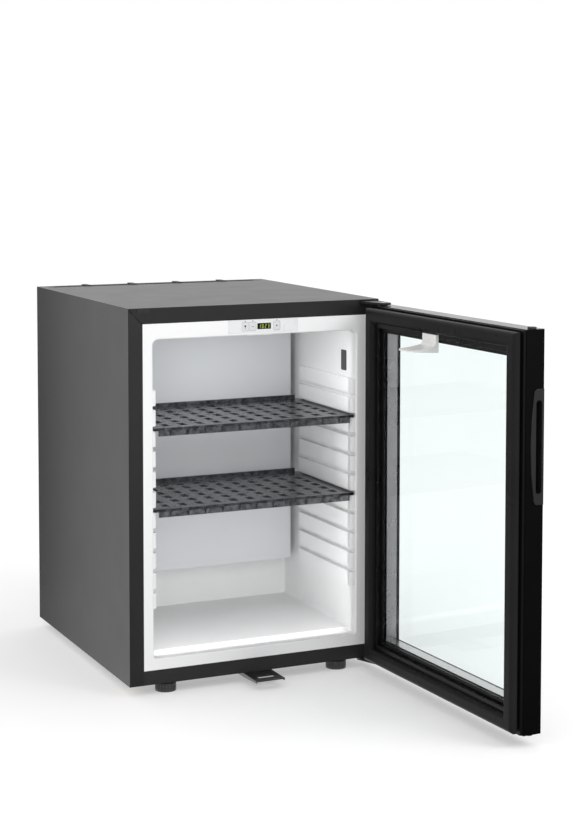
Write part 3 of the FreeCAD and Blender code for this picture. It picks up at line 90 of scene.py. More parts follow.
class Shader:
    """A material's node tree with short ways to add and join nodes."""

    def __init__(self, name: str) -> None:
        """Makes an empty Principled material.

        Args:
            name: The material's name.
        """
        self.material = bpy.data.materials.new(name)
        self.material.use_nodes = True
        self.tree = self.material.node_tree
        self.surface = self.tree.nodes["Principled BSDF"]

    def add(self, kind: str, **settings: object) -> bpy.types.Node:
        """Adds a node.

        Args:
            kind: The node's Blender type.
            **settings: Attributes, or inputs by name with underscores for spaces.

        Returns:
            The new node.
        """
        node = self.tree.nodes.new(kind)
        for name, value in settings.items():
            socket = node.inputs.get(name.replace("_", " "))
            if socket is None:
                setattr(node, name, value)
            else:
                socket.default_value = value
        return node

    def link(self, start: Socket, end: Socket) -> None:
        """Joins two sockets.

        Args:
            start: The output socket.
            end: The input socket.
        """
        self.tree.links.new(start, end)

    def place(self, coordinates: Coordinates, scale: Sequence[float] = (1, 1, 1)) -> Socket:
        """Texture coordinates with an optional stretch.

        Args:
            coordinates: Which coordinates to read.
            scale: Stretch along each axis.

        Returns:
            The vector socket.
        """
        source = self.add("ShaderNodeTexCoord").outputs[coordinates.value]
        mapping = self.add("ShaderNodeMapping", Scale=tuple(scale))
        self.link(source, mapping.inputs["Vector"])
        return mapping.outputs["Vector"]

    def noise(self, vector: Socket, scale: float, detail: float = 3.0) -> Socket:
        """A grey noise.

        Args:
            vector: Texture coordinates.
            scale: Features per metre.
            detail: Octaves.

        Returns:
            The noise's factor.
        """
        node = self.add("ShaderNodeTexNoise", Scale=scale, Detail=detail)
        self.link(vector, node.inputs["Vector"])
        return node.outputs["Factor" if "Factor" in node.outputs else "Fac"]

    def spread(self, factor: Socket, low: float, high: float) -> Socket:
        """Maps a noise's middle range to numbers.

        Args:
            factor: The noise.
            low: The number for dark noise.
            high: The number for light noise.

        Returns:
            The mapped value.
        """
        node = self.add("ShaderNodeMapRange", From_Min=CLOUD_LOW, From_Max=CLOUD_HIGH,
                        To_Min=low, To_Max=high)
        self.link(factor, node.inputs["Value"])
        return node.outputs["Result"]

    def tint(self, factor: Socket, dark: Colour, light: Colour) -> Socket:
        """A colour ramp between two colours.

        Args:
            factor: The ramp's place.
            dark: Colour at its low end.
            light: Colour at its high end.

        Returns:
            The colour socket.
        """
        ramp = self.add("ShaderNodeValToRGB")
        ends = ((CLOUD_LOW, dark), (CLOUD_HIGH, light))
        for element, (position, colour) in zip(ramp.color_ramp.elements, ends):
            element.position = position
            element.color = (*colour, 1.0)
        self.link(factor, ramp.inputs["Fac"])
        return ramp.outputs["Color"]

    def math(self, operation: str, first: Union[Socket, float], second: Union[Socket, float] = 0.0) -> Socket:
        """Works out a number from one or two others.

        Args:
            operation: Blender's name for the operation.
            first: A socket or a constant.
            second: A socket or a constant.

        Returns:
            The result.
        """
        node = self.add("ShaderNodeMath", operation=operation)
        for socket, value in zip(node.inputs, (first, second)):
            if isinstance(value, Socket):
                self.link(value, socket)
            else:
                socket.default_value = value
        return node.outputs[0]

    def mix(self, factor: Socket, colour: Socket, other: Colour, blend: str = "MIX") -> Socket:
        """Blends a fixed colour into another.

        Args:
            factor: The fixed colour's share.
            colour: The colour to start from.
            other: The fixed colour.
            blend: Blender's name for the way of blending.

        Returns:
            The blended colour.
        """
        node = self.add("ShaderNodeMix", data_type="RGBA", blend_type=blend)
        base, added = (socket for socket in node.inputs if socket.type == "RGBA")
        self.link(factor, node.inputs["Factor"])
        self.link(colour, base)
        added.default_value = (*other, 1.0)
        return next(socket for socket in node.outputs if socket.type == "RGBA")

    def bump(self, height: Socket, distance: float, strength: float = 1.0) -> None:
        """Feeds a height into the surface's normal.

        Args:
            height: The height.
            distance: Its depth in metres.
            strength: Its share.
        """
        node = self.add("ShaderNodeBump", Distance=distance, Strength=strength)
        self.link(height, node.inputs["Height"])
        self.link(node.outputs["Normal"], self.surface.inputs["Normal"])


@dataclass(frozen=True)
class Finish:
    """A moulded or painted finish: mottled colour, uneven gloss and a fine grain."""

    name: str
    colour: Colour
    roughness: float
    metallic: float = 0.0
    specular: float = 0.5
    mottle: float = 0.08
    mottle_scale: float = 18.0
    gloss_spread: float = 0.06
    grain_scale: float = 1400.0
    grain_depth: float = 0.00004
    stretch: tuple[float, float, float] = (1.0, 1.0, 1.0)

    def shades(self) -> tuple[Colour, Colour]:
        """The darker and lighter colour of the mottle.

        Returns:
            Two colours.
        """
        dark = tuple(channel * (1.0 - self.mottle) for channel in self.colour)
        light = tuple(min(1.0, channel * (1.0 + self.mottle)) for channel in self.colour)
        return dark, light

    def build(self) -> bpy.types.Material:
        """Makes the material.

        Returns:
            The material.
        """
        shader = Shader(self.name)
        inputs = shader.surface.inputs
        inputs["Metallic"].default_value = self.metallic
        inputs["Specular IOR Level"].default_value = self.specular
        vector = shader.place(Coordinates.OBJECT, self.stretch)
        cloud = shader.noise(vector, self.mottle_scale)
        shader.link(shader.tint(cloud, *self.shades()), inputs["Base Color"])
        low = max(0.0, self.roughness - self.gloss_spread)
        shader.link(shader.spread(cloud, low, self.roughness + self.gloss_spread), inputs["Roughness"])
        self.detail(shader, vector)
        return shader.material

    def detail(self, shader: Shader, vector: Socket) -> None:
        """Adds the fine grain.

        Args:
            shader: The material's shader.
            vector: Its texture coordinates.
        """
        shader.bump(shader.noise(vector, self.grain_scale, GRAIN_DETAIL), self.grain_depth)


@dataclass(frozen=True)
class ClearFinish(Finish):
    """Glass or clear plastic, with faint smears in its gloss."""

    ior: float = 1.45
    transmission: float = 1.0

    def detail(self, shader: Shader, vector: Socket) -> None:
        """Adds the fine grain and lets light through.

        Args:
            shader: The material's shader.
            vector: Its texture coordinates.
        """
        super().detail(shader, vector)
        shader.surface.inputs["IOR"].default_value = self.ior
        shader.surface.inputs["Transmission Weight"].default_value = self.transmission


@dataclass(frozen=True)
class GlowFinish(Finish):
    """A finish that gives light of its own."""

    glow: float = 1.0

    def detail(self, shader: Shader, vector: Socket) -> None:
        """Adds the fine grain and the glow.

        Args:
            shader: The material's shader.
            vector: Its texture coordinates.
        """
        super().detail(shader, vector)
        shader.surface.inputs["Emission Color"].default_value = (*self.colour, 1.0)
        shader.surface.inputs["Emission Strength"].default_value = self.glow


@dataclass(frozen=True)
class PerforatedFinish(Finish):
    """A metal strip with fine perforations painted dark as the shade inside them, and painted shade on its
    upright runs.
    """

    # Painted shade: the share of the colour kept on runs that stand upright.
    upright_painted_shade: Colour = (0.42, 0.42, 0.42)
    hole_pitch: float = 0.0032
    hole_share: float = 0.26
    # Painted shade: the dark colour of the holes, standing in for the shade inside them.
    hole_painted_shade: Colour = (0.05, 0.05, 0.055)
    hole_depth: float = 0.0004
    hole_strength: float = 0.6

    def detail(self, shader: Shader, vector: Socket) -> None:
        """Adds the perforations, painted dark as their shade, and darkens the upright runs with painted
        shade.

        Args:
            shader: The material's shader.
            vector: Its texture coordinates.
        """
        cells = shader.add("ShaderNodeTexVoronoi", Scale=1.0 / self.hole_pitch, Randomness=0.0)
        shader.link(vector, cells.inputs["Vector"])
        holes = shader.math("LESS_THAN", cells.outputs["Distance"], self.hole_share)
        facing = shader.add("ShaderNodeSeparateXYZ")
        normal = shader.add("ShaderNodeTexCoord").outputs[Coordinates.NORMAL.value]
        shader.link(normal, facing.inputs["Vector"])
        # Painted shade: the base colour is darkened on faces that stand upright.
        upright = shader.math("SUBTRACT", 1.0, shader.math("ABSOLUTE", facing.outputs["Z"]))
        base = shader.surface.inputs["Base Color"]
        # Painted shade: the perforations are coloured dark, as the shade inside the holes.
        pierced = shader.mix(holes, base.links[0].from_socket, self.hole_painted_shade)
        shader.link(shader.mix(upright, pierced, self.upright_painted_shade, "MULTIPLY"), base)
        shader.bump(holes, self.hole_depth, self.hole_strength)


BLACK_PAINT = Finish("black_paint", (0.016, 0.016, 0.0165), 0.36, specular=0.4, mottle=0.05,
                     gloss_spread=0.015, grain_depth=0.00003)
# Painted sheen: the sides get a glossier copy of the black paint, so their reflections read lighter than the
# top's.
SIDE_SHEEN_PAINT = Finish("side_sheen_paint", (0.016, 0.016, 0.0165), 0.34, specular=0.48, mottle=0.05,
                    gloss_spread=0.015, grain_depth=0.00003)
RAIL_PAINT = Finish("rail_paint", (0.025, 0.025, 0.0255), 0.36, specular=0.4, mottle=0.05,
                    gloss_spread=0.015, grain_depth=0.00003)
WHITE_LINER = Finish("white_liner", (0.89, 0.895, 0.895), 0.42, specular=0.4, mottle=0.01,
                     gloss_spread=0.03)
FOAM = Finish("foam", (0.8, 0.7, 0.45), 0.9, mottle=0.12, grain_scale=500.0, grain_depth=0.0006)
ZINC = Finish("zinc_sheet", (0.58, 0.59, 0.6), 0.36, metallic=1.0, mottle=0.16, mottle_scale=60.0)
MATTE_BLACK = Finish("matte_black", (0.028, 0.028, 0.029), 0.5, mottle=0.12, grain_depth=0.0001)
FOOT_BLACK = Finish("foot_black", (0.06, 0.06, 0.061), 0.45, mottle=0.12, grain_depth=0.0001)
COLD_PLATE = Finish("cold_plate", (0.62, 0.635, 0.655), 0.45, mottle=0.03, mottle_scale=6.0)
ALUMINIUM = Finish("aluminium", (0.74, 0.75, 0.76), 0.3, metallic=1.0, stretch=(1.0, 1.0, 12.0))
PANEL_GREY = Finish("panel_grey", (0.8, 0.81, 0.815), 0.3, mottle=0.015)
BUTTON_GREY = Finish("button_grey", (0.72, 0.735, 0.74), 0.34, mottle=0.02)
DISPLAY = Finish("display_dark", (0.01, 0.012, 0.01), 0.14, specular=0.3)
BOARD = Finish("circuit_board", (0.03, 0.16, 0.06), 0.4, mottle=0.2)
WHITE_PLASTIC = Finish("white_plastic", (0.85, 0.85, 0.84), 0.3, mottle=0.02)
HINGE_STEEL = Finish("hinge_steel", (0.02, 0.02, 0.021), 0.38, metallic=0.2, specular=0.3)
BRIGHT_STEEL = Finish("bright_steel", (0.7, 0.7, 0.7), 0.24, metallic=1.0)
KEEPER_STEEL = Finish("keeper_steel", (0.16, 0.155, 0.15), 0.34, metallic=1.0, mottle=0.2,
                      mottle_scale=90.0)
UNIT_BLACK = Finish("unit_black", (0.018, 0.018, 0.02), 0.42, mottle=0.2)
FRAME_BLACK = Finish("frame_black", (0.003, 0.003, 0.0032), 0.22, specular=0.05, mottle=0.1,
                     gloss_spread=0.03)
# Painted sheen: the door's top rail gets a much glossier copy of the frame black, for a light line along its
# top.
TOP_RAIL_SHEEN = Finish("top_rail_sheen", (0.004, 0.004, 0.0042), 0.2, specular=0.7, mottle=0.1,
                    gloss_spread=0.03)
GRIP_BLACK = Finish("grip_black", (0.014, 0.014, 0.0145), 0.32, specular=0.4, mottle=0.1)
BEAD_BLACK = Finish("bead_black", (0.005, 0.005, 0.0053), 0.3, specular=0.14, mottle=0.1)
GASKET = Finish("gasket_rubber", (0.016, 0.016, 0.0164), 0.32, specular=0.05,
                grain_depth=0.00002)
BUTYL = Finish("butyl", (0.01, 0.01, 0.01), 0.6)
PLATE_GREY = Finish("plate_grey", (0.06, 0.06, 0.063), 0.45)
# Grey of the painted shade in the gaps round the buttons.
GAP_SHADE_GREY = Finish("button_gap_shade", (0.3, 0.31, 0.32), 0.5)
TICK_DARK = Finish("tick_dark", (0.012, 0.012, 0.013), 0.3, specular=0.3, mottle=0.2)
MARK_DARK = Finish("mark_dark", (0.03, 0.03, 0.032), 0.5)
LAMP = GlowFinish("lamp_opal", (0.95, 0.97, 1.0), 0.4, glow=0.6, mottle=0.02)
DIGIT = GlowFinish("digit_green", (0.36, 0.46, 0.07), 0.4, glow=0.6, mottle=0.02)
SPACER = PerforatedFinish("spacer_strip", (0.66, 0.645, 0.645), 0.3, metallic=0.85)
GLASS = ClearFinish("door_glass", (0.966, 0.998, 0.998), 0.01, mottle=0.001, gloss_spread=0.008,
                    grain_scale=3.0, grain_depth=0.00001, ior=1.18)
SMOKY = ClearFinish("smoky_clear", (0.17, 0.175, 0.185), 0.12, mottle=0.75, mottle_scale=130.0,
                    grain_scale=170.0, grain_depth=0.0011, transmission=0.92, ior=1.4)
FLOOR_PALE = GlowFinish("floor_pale", (0.7, 0.7, 0.7), 0.9, specular=0.0, mottle=0.004, glow=0.5)
CARD_GREY = Finish("card_grey", (0.3, 0.3, 0.3), 0.9, specular=0.0, mottle=0.01)


class Wardrobe:
    """Makes each finish's material once and puts it on CAD nodes and added pieces."""

    def __init__(self) -> None:
        """Starts with no material made."""
        self._made: dict[str, bpy.types.Material] = {}

    def material(self, finish: Finish) -> bpy.types.Material:
        """The material of a finish.

        Args:
            finish: The finish.

        Returns:
            Its material.
        """
        if finish.name not in self._made:
            self._made[finish.name] = finish.build()
        return self._made[finish.name]

    def dress(self, finish: Finish, *nodes: str) -> None:
        """Gives CAD nodes a finish through their material slots.

        Args:
            finish: The finish.
            *nodes: Names of CAD nodes.
        """
        material = self.material(finish)
        for name in nodes:
            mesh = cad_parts[name].data
            if not mesh.materials:
                mesh.materials.append(material)
            for index in range(len(mesh.materials)):
                mesh.materials[index] = material
            LOG.info("dressed %s in %s", name, finish.name)

    def piece(self, mesh: bpy.types.Mesh, finish: Finish, body: Body, slot: str) -> bpy.types.Object:
        """Makes an added piece from a mesh.

        Args:
            mesh: The mesh, already in place; its name becomes the piece's name.
            finish: Its finish.
            body: The CAD body that it rides on.
            slot: The record's material slot that it belongs to; not used.

        Returns:
            The new object.
        """
        mesh.materials.append(self.material(finish))
        piece = bpy.data.objects.new(mesh.name, mesh)
        bpy.context.scene.collection.objects.link(piece)
        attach(piece, body.value)
        LOG.info("added %s", mesh.name)
        return piece


def rounded_outline(width: float, height: float, radius: float, inset: float,
                    steps: int) -> list[tuple[float, float]]:
    """Points round a rectangle with rounded corners.

    Args:
        width: Outer size along X.
        height: Outer size along Z.
        radius: Outer corner radius.
        inset: How far inside the outer edge the points lie.
        steps: Straight runs per corner.

    Returns:
        Each point's X and Z, from the rectangle's middle.
    """
    reach = max(radius - inset, 0.0)
    points = []
    for sign_x, sign_z, turn in CORNERS:
        for step in range(steps + 1):
            angle = 2 * math.pi * (turn + QUARTER * step / steps)
            points.append((sign_x * (width / 2 - radius) + reach * math.cos(angle),
                           sign_z * (height / 2 - radius) + reach * math.sin(angle)))
    return points


def rounded_plate(width: float, height: float, thickness: float, radius: float, steps: int = 6) -> Shape:
    """A plate with rounded corners, upright in the XZ plane.

    Args:
        width: Size along X.
        height: Size along Z.
        thickness: Size along Y, from y = 0 backwards to +Y.
        radius: Corner radius.
        steps: Straight runs per corner.

    Returns:
        The plate as a bmesh centred on X and Z.
    """
    shape = bmesh.new()
    outline = rounded_outline(width, height, radius, 0.0, steps)
    face = shape.faces.new([shape.verts.new((x, 0.0, z)) for x, z in outline])
    grown = bmesh.ops.extrude_face_region(shape, geom=[face])
    moved = [item for item in grown["geom"] if isinstance(item, bmesh.types.BMVert)]
    bmesh.ops.translate(shape, verts=moved, vec=(0.0, thickness, 0.0))
    bmesh.ops.recalc_face_normals(shape, faces=shape.faces[:])
    return shape


def rounded_ring(width: float, height: float, line: float, thickness: float, radius: float,
                 steps: int = 6) -> Shape:
    """A flat line drawn round a rounded rectangle in the XZ plane.

    Args:
        width: Outer size along X.
        height: Outer size along Z.
        line: Width of the line.
        thickness: Size along Y.
        radius: Outer corner radius.
        steps: Straight runs per corner.

    Returns:
        The ring as a bmesh centred on X and Z.
    """
    shape = bmesh.new()
    loops = []
    for inset in (0.0, line):
        outline = rounded_outline(width, height, radius, inset, steps)
        for depth in (0.0, thickness):
            loops.append([shape.verts.new((x, depth, z)) for x, z in outline])
    outer_front, outer_back, inner_front, inner_back = loops
    bands = [(outer_front, outer_back), (outer_back, inner_back), (inner_back, inner_front),
             (inner_front, outer_front)]
    count = len(outer_front)
    for first, second in bands:
        for i in range(count):
            j = (i + 1) % count
            shape.faces.new((first[i], first[j], second[j], second[i]))
    bmesh.ops.recalc_face_normals(shape, faces=shape.faces[:])
    return shape


def screw_head(radius: float, height: float, segments: int = 20) -> Shape:
    """A low domed screw head about +Z, sunk in its middle for the driver.

    Args:
        radius: Its radius.
        height: Its height.
        segments: Points round its rim.

    Returns:
        The head as a bmesh with its seat at z = 0.
    """
    shape = bmesh.new()
    rings = []
    for share, rise in SCREW_PROFILE:
        ring = []
        for step in range(segments):
            angle = 2 * math.pi * step / segments
            ring.append(shape.verts.new((radius * share * math.cos(angle), radius * share * math.sin(angle),
                                         height * rise)))
        rings.append(ring)
    for low, high in zip(rings, rings[1:]):
        for i in range(segments):
            j = (i + 1) % segments
            shape.faces.new((low[i], low[j], high[j], high[i]))
    middle = shape.verts.new((0.0, 0.0, height * SCREW_RECESS))
    last = rings[-1]
    for i in range(segments):
        shape.faces.new((last[i], last[(i + 1) % segments], middle))
    shape.faces.new(list(reversed(rings[0])))
    return shape


def rear_screw(radius: float, height: float, seat: Sequence[float]) -> Placed:
    """A screw head on a face that looks towards the rear.

    Args:
        radius: The head's radius.
        height: The head's height.
        seat: Where it sits on the face.

    Returns:
        The head and its placing, sunk a hair into the face.
    """
    sunk = Vector(seat) - Vector((0.0, SEAT_DEPTH, 0.0))
    turn = Matrix.Rotation(-math.pi / 2, 4, "X")
    return screw_head(radius, height), Matrix.Translation(sunk) @ turn


def to_mesh(name: str, shapes: Iterable[Placed]) -> bpy.types.Mesh:
    """Joins placed bmeshes into one mesh.

    Args:
        name: The mesh's name.
        shapes: Each bmesh with its placing.

    Returns:
        The mesh.
    """
    joined = bmesh.new()
    for shape, placing in shapes:
        shape.transform(placing)
        part = bpy.data.meshes.new("part")
        shape.to_mesh(part)
        shape.free()
        joined.from_mesh(part)
        bpy.data.meshes.remove(part)
    mesh = bpy.data.meshes.new(name)
    joined.to_mesh(mesh)
    joined.free()
    return mesh


def soft_light(name: str, place: Sequence[float], aim: Sequence[float], size: Sequence[float],
               power: float) -> None:
    """Adds a soft rectangular light that the camera and mirrors don't see.

    Args:
        name: Its name.
        place: Where it is.
        aim: What it points at.
        size: Its two edges.
        power: Its power in watts.
    """
    data = bpy.data.lights.new(name, "AREA")
    data.shape = "RECTANGLE"
    data.size, data.size_y = size
    data.energy = power
    lamp = bpy.data.objects.new(name, data)
    lamp.location = place
    lamp.rotation_euler = (Vector(aim) - Vector(place)).to_track_quat("-Z", "Y").to_euler()
    lamp.visible_camera = False
    lamp.visible_glossy = False
    lamp.visible_transmission = False
    bpy.context.scene.collection.objects.link(lamp)


class Assembly:
    """A sub-assembly of the fridge: finishes for its CAD nodes, and any pieces added to them."""

    FINISHES: ClassVar[dict[Finish, tuple[str, ...]]] = {}

    def dress(self, wardrobe: Wardrobe) -> None:
        """Gives the sub-assembly's nodes their finishes.

        Args:
            wardrobe: Makes the materials.
        """
        for finish, nodes in self.FINISHES.items():
            wardrobe.dress(finish, *nodes)

    def build(self, wardrobe: Wardrobe) -> None:
        """Adds pieces to the CAD nodes, where a sub-assembly has any.

        Args:
            wardrobe: Makes the materials.
        """


@dataclass
class CabinetShell(Assembly):
    """Steel shell, base, feet and the small fasteners on its back."""

    FINISHES: ClassVar[dict[Finish, tuple[str, ...]]] = {
        BLACK_PAINT: ("top_panel",),
        SIDE_SHEEN_PAINT: ("left_side_panel", "right_side_panel"),
        RAIL_PAINT: ("bottom_rail", "hinge_slot_plug"),
        MATTE_BLACK: ("rear_vent_grille",),
        FOOT_BLACK: ("foot_front_left", "foot_front_right", "foot_rear_left", "foot_rear_right"),
        ZINC: ("base_pan", "rear_panel"),
        FOAM: ("insulation",),
        HINGE_STEEL: ("upper_hinge_plate", "lower_hinge_plate"),
        BRIGHT_STEEL: ("hinge_pins", "underside_screws"),
        KEEPER_STEEL: ("lock_keeper",),
    }

    screw_radius: float = 3.4 * MM
    screw_height: float = 1.4 * MM
    screw_inset: float = 7.0 * MM
    screw_rows: int = 4

    def build(self, wardrobe: Wardrobe) -> None:
        """Adds the screws along the rear panel's two sides.

        Args:
            wardrobe: Makes the materials.
        """
        shapes = []
        low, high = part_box("rear_panel")
        for x in (low.x + self.screw_inset, high.x - self.screw_inset):
            for row in range(self.screw_rows):
                z = low.z + (high.z - low.z) * (row + 0.5) / self.screw_rows
                shapes.append(rear_screw(self.screw_radius, self.screw_height, (x, high.y, z)))
        wardrobe.piece(to_mesh("rear_panel_screws", shapes), BRIGHT_STEEL, Body.CABINET, "bright_steel")


@dataclass
class Cavity(Assembly):
    """White liner with what stands in it."""

    FINISHES: ClassVar[dict[Finish, tuple[str, ...]]] = {
        WHITE_LINER: ("inner_liner",),
        COLD_PLATE: ("cold_plate",),
        ALUMINIUM: ("evaporator_fins",),
        WHITE_PLASTIC: ("door_switch",),
        LAMP: ("lamp_lens",),
    }

    plate_width: float = 17.0 * MM
    plate_height: float = 31.0 * MM
    plate_setback: float = 33.0 * MM
    plate_above_shelf: float = 57.5 * MM
    plate_thickness: float = 0.8 * MM
    plate_radius: float = 2.0 * MM
    shelf_clearance: float = 2.8 * MM
    lamp_gap: float = 1.0 * MM
    lamp_power: float = 0.12
    fill_power: float = 0.45
    fill_margin: float = 12.0 * MM

    def build(self, wardrobe: Wardrobe) -> None:
        """Adds the bare plate on the right wall and the light inside.

        Args:
            wardrobe: Makes the materials.
        """
        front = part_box("inner_liner")[0].y
        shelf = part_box("upper_shelf")[1]
        plate = rounded_plate(self.plate_width, self.plate_height, self.plate_thickness, self.plate_radius)
        place = Matrix.Translation((
            shelf.x + self.shelf_clearance - self.plate_thickness,
            front + self.plate_setback + self.plate_width / 2,
            shelf.z + self.plate_above_shelf + self.plate_height / 2,
        ))
        turn = Matrix.Rotation(-math.pi / 2, 4, "Z")
        mesh = to_mesh("wall_plate", [(plate, place @ turn)])
        wardrobe.piece(mesh, PLATE_GREY, Body.CABINET, "black_plastic")
        self.light()

    def light(self) -> None:
        """Lights the cavity from its lamp, and softly from its opening."""
        lens_low, lens_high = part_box("lamp_lens")
        across = (lens_low.x + lens_high.x) / 2
        lamp_place = (across, (lens_low.y + lens_high.y) / 2, lens_low.z - self.lamp_gap)
        lamp_size = (lens_high.x - lens_low.x, lens_high.y - lens_low.y)
        soft_light("cavity_lamp", lamp_place, (across, lamp_place[1], 0.0), lamp_size, self.lamp_power)
        shelf_low, shelf_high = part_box("upper_shelf")
        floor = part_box("bottom_rail")[1].z
        ceiling = lens_high.z
        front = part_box("inner_liner")[0].y + self.fill_margin
        middle = (floor + ceiling) / 2
        size = (shelf_high.x - shelf_low.x - self.fill_margin, ceiling - floor - self.fill_margin)
        soft_light("cavity_fill", (0.0, front, middle), (0.0, 0.0, middle), size, self.fill_power)


@dataclass
class Shelves(Assembly):
    """Smoky clear shelves with dark T-shaped ticks along their front lips."""

    FINISHES: ClassVar[dict[Finish, tuple[str, ...]]] = {SMOKY: ("upper_shelf", "lower_shelf")}

    tick_count: int = 11
    tick_inset: float = 24.7 * MM
    stem_width: float = 1.5 * MM
    stem_height: float = 7.0 * MM
    head_width: float = 4.6 * MM
    head_height: float = 1.4 * MM
    edge_radius: float = 0.5 * MM
    thickness: float = 0.3 * MM
    lip_height: float = 8.0 * MM

    def build(self, wardrobe: Wardrobe) -> None:
        """Adds the ticks on both lips.

        Args:
            wardrobe: Makes the materials.
        """
        for body in (Body.UPPER_SHELF, Body.LOWER_SHELF):
            low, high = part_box(body.value)
            pitch = (high.x - low.x - 2 * self.tick_inset) / (self.tick_count - 1)
            top = low.z + self.lip_height
            stem_face = low.y - self.thickness / 2
            strokes = ((self.stem_width, self.stem_height, stem_face),
                       (self.head_width, self.head_height, stem_face - SEAT_DEPTH / 2))
            shapes = []
            for index in range(self.tick_count):
                x = low.x + self.tick_inset + pitch * index
                for width, height, y in strokes:
                    plate = rounded_plate(width, height, self.thickness, self.edge_radius)
                    shapes.append((plate, Matrix.Translation((x, y, top - height / 2))))
            wardrobe.piece(to_mesh(f"{body.value}_ticks", shapes), TICK_DARK, body, "smoky_clear")


@dataclass
class ControlPanel(Assembly):
    """Overlay above the opening with its display digits and button marks."""

    FINISHES: ClassVar[dict[Finish, tuple[str, ...]]] = {
        PANEL_GREY: ("control_panel",),
        BUTTON_GREY: ("light_button", "down_button", "up_button"),
        DISPLAY: ("display_window",),
        BOARD: ("control_board",),
    }

    reading: tuple[str, ...] = ("bc", "abcdef", "abdeg", "abcdg")
    digit_share: float = 0.72
    digit_width: float = 1.9 * MM
    digit_margin: float = 0.3
    stroke: float = 0.7 * MM
    depth: float = 0.12 * MM
    # Painted shade: the width of the dark rings round the buttons, standing in for the shaded gaps.
    outline: float = 0.35 * MM
    gap_shade_margin: float = 1.6 * MM
    gap_shade_radius: float = 1.4 * MM
    corner_share: float = 0.35
    bar_steps: int = 3
    mark: float = 3.6 * MM
    bulb_share: tuple[float, float] = (0.7, 0.9)
    bulb_foot_share: float = 0.4
    bulb_foot_drop: float = 0.75
    tick_width: float = 2.6 * MM
    tick_rise: float = 2.3 * MM

    def bar(self, x: float, z: float, width: float, height: float, y: float) -> Placed:
        """A thin printed bar on the panel.

        Args:
            x: Middle along X.
            z: Middle along Z.
            width: Size along X.
            height: Size along Z.
            y: The face that it lies on.

        Returns:
            The bar and its placing.
        """
        radius = min(width, height) * self.corner_share
        shape = rounded_plate(width, height, self.depth, radius, self.bar_steps)
        return shape, Matrix.Translation((x, y - self.depth / 2, z))

    def digit(self, segments: str, x: float, z: float, y: float,
              height: float) -> list[Placed]:
        """A seven-segment digit.

        Args:
            segments: Lit segments by letter, a at the top and g in the middle.
            x: Middle along X.
            z: Middle along Z.
            y: The face that it lies on.
            height: Size along Z.

        Returns:
            The lit bars.
        """
        half = self.digit_width / 2
        tall = height / 2
        upright = tall - self.stroke
        flat = self.digit_width - self.stroke
        bars = {
            "a": (0.0, tall, flat, self.stroke),
            "d": (0.0, -tall, flat, self.stroke),
            "g": (0.0, 0.0, flat, self.stroke),
            "f": (-half, tall / 2, self.stroke, upright),
            "b": (half, tall / 2, self.stroke, upright),
            "e": (-half, -tall / 2, self.stroke, upright),
            "c": (half, -tall / 2, self.stroke, upright),
        }
        lit = [bars[letter] for letter in segments]
        return [self.bar(x + across, z + up, width, tallness, y) for across, up, width, tallness in lit]

    def build(self, wardrobe: Wardrobe) -> None:
        """Adds the digits, dark rings of painted shade round the buttons, and the buttons' plain marks.

        Args:
            wardrobe: Makes the materials.
        """
        low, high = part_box("display_window")
        z = (low.z + high.z) / 2
        height = (high.z - low.z) * self.digit_share - self.stroke
        pitch = (high.x - low.x) / (len(self.reading) + 2 * self.digit_margin)
        bars = []
        for place, segments in enumerate(self.reading):
            x = low.x + pitch * (place + self.digit_margin + 0.5)
            bars += self.digit(segments, x, z, low.y, height)
        wardrobe.piece(to_mesh("display_digits", bars), DIGIT, Body.CABINET, "display")
        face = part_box("control_panel")[0].y
        gap_shades, ticks = [], []
        for body in (Body.LIGHT_BUTTON, Body.DOWN_BUTTON, Body.UP_BUTTON):
            low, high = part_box(body.value)
            middle = (low + high) / 2
            # Painted shade: a dark ring round each button stands in for the shaded gap between button and
            # panel.
            ring = rounded_ring(high.x - low.x, high.z - low.z + self.gap_shade_margin, self.outline,
                                self.depth, self.gap_shade_radius)
            gap_shades.append((ring, Matrix.Translation((middle.x, face - self.depth / 2, middle.z))))
            ticks.append(self.bar(middle.x, high.z + self.tick_rise, self.tick_width, self.stroke, face))
            marks = to_mesh(f"{body.value}_mark", self.button_mark(body, middle, low.y))
            wardrobe.piece(marks, MARK_DARK, body, "panel_grey")
        wardrobe.piece(to_mesh("button_gap_shades", gap_shades), GAP_SHADE_GREY, Body.CABINET, "panel_grey")
        wardrobe.piece(to_mesh("button_ticks", ticks), MARK_DARK, Body.CABINET, "panel_grey")

    def button_mark(self, body: Body, middle: Vector, y: float) -> list[Placed]:
        """One button's plain mark.

        Args:
            body: The button's body.
            middle: The button's middle.
            y: The button's face.

        Returns:
            The mark's bars.
        """
        thin = self.stroke
        if body is Body.LIGHT_BUTTON:
            width, height = (self.mark * share for share in self.bulb_share)
            foot = middle.z - self.mark * self.bulb_foot_drop
            return [self.bar(middle.x, middle.z + thin, width, height, y),
                    self.bar(middle.x, foot, self.mark * self.bulb_foot_share, thin, y)]
        marks = [self.bar(middle.x, middle.z, self.mark, thin, y)]
        if body is Body.UP_BUTTON:
            marks.append(self.bar(middle.x, middle.z, thin, self.mark, y))
        return marks


@dataclass
class Door(Assembly):
    """Glazed door with its gasket, grip, striker and lock."""

    FINISHES: ClassVar[dict[Finish, tuple[str, ...]]] = {
        FRAME_BLACK: ("door_stile_free", "door_stile_hinge", "door_rail_bottom"),
        TOP_RAIL_SHEEN: ("door_rail_top",),
        GRIP_BLACK: ("door_handle",),
        BEAD_BLACK: ("glazing_bead",),
        GASKET: ("door_gasket",),
        BUTYL: ("edge_seal",),
        SPACER: ("spacer_bar",),
        GLASS: ("outer_pane", "inner_pane"),
        WHITE_PLASTIC: ("door_striker",),
        MATTE_BLACK: ("upper_hinge_bush", "lower_hinge_bush", "hole_plugs"),
        BRIGHT_STEEL: ("lock_barrel", "lock_cam"),
    }


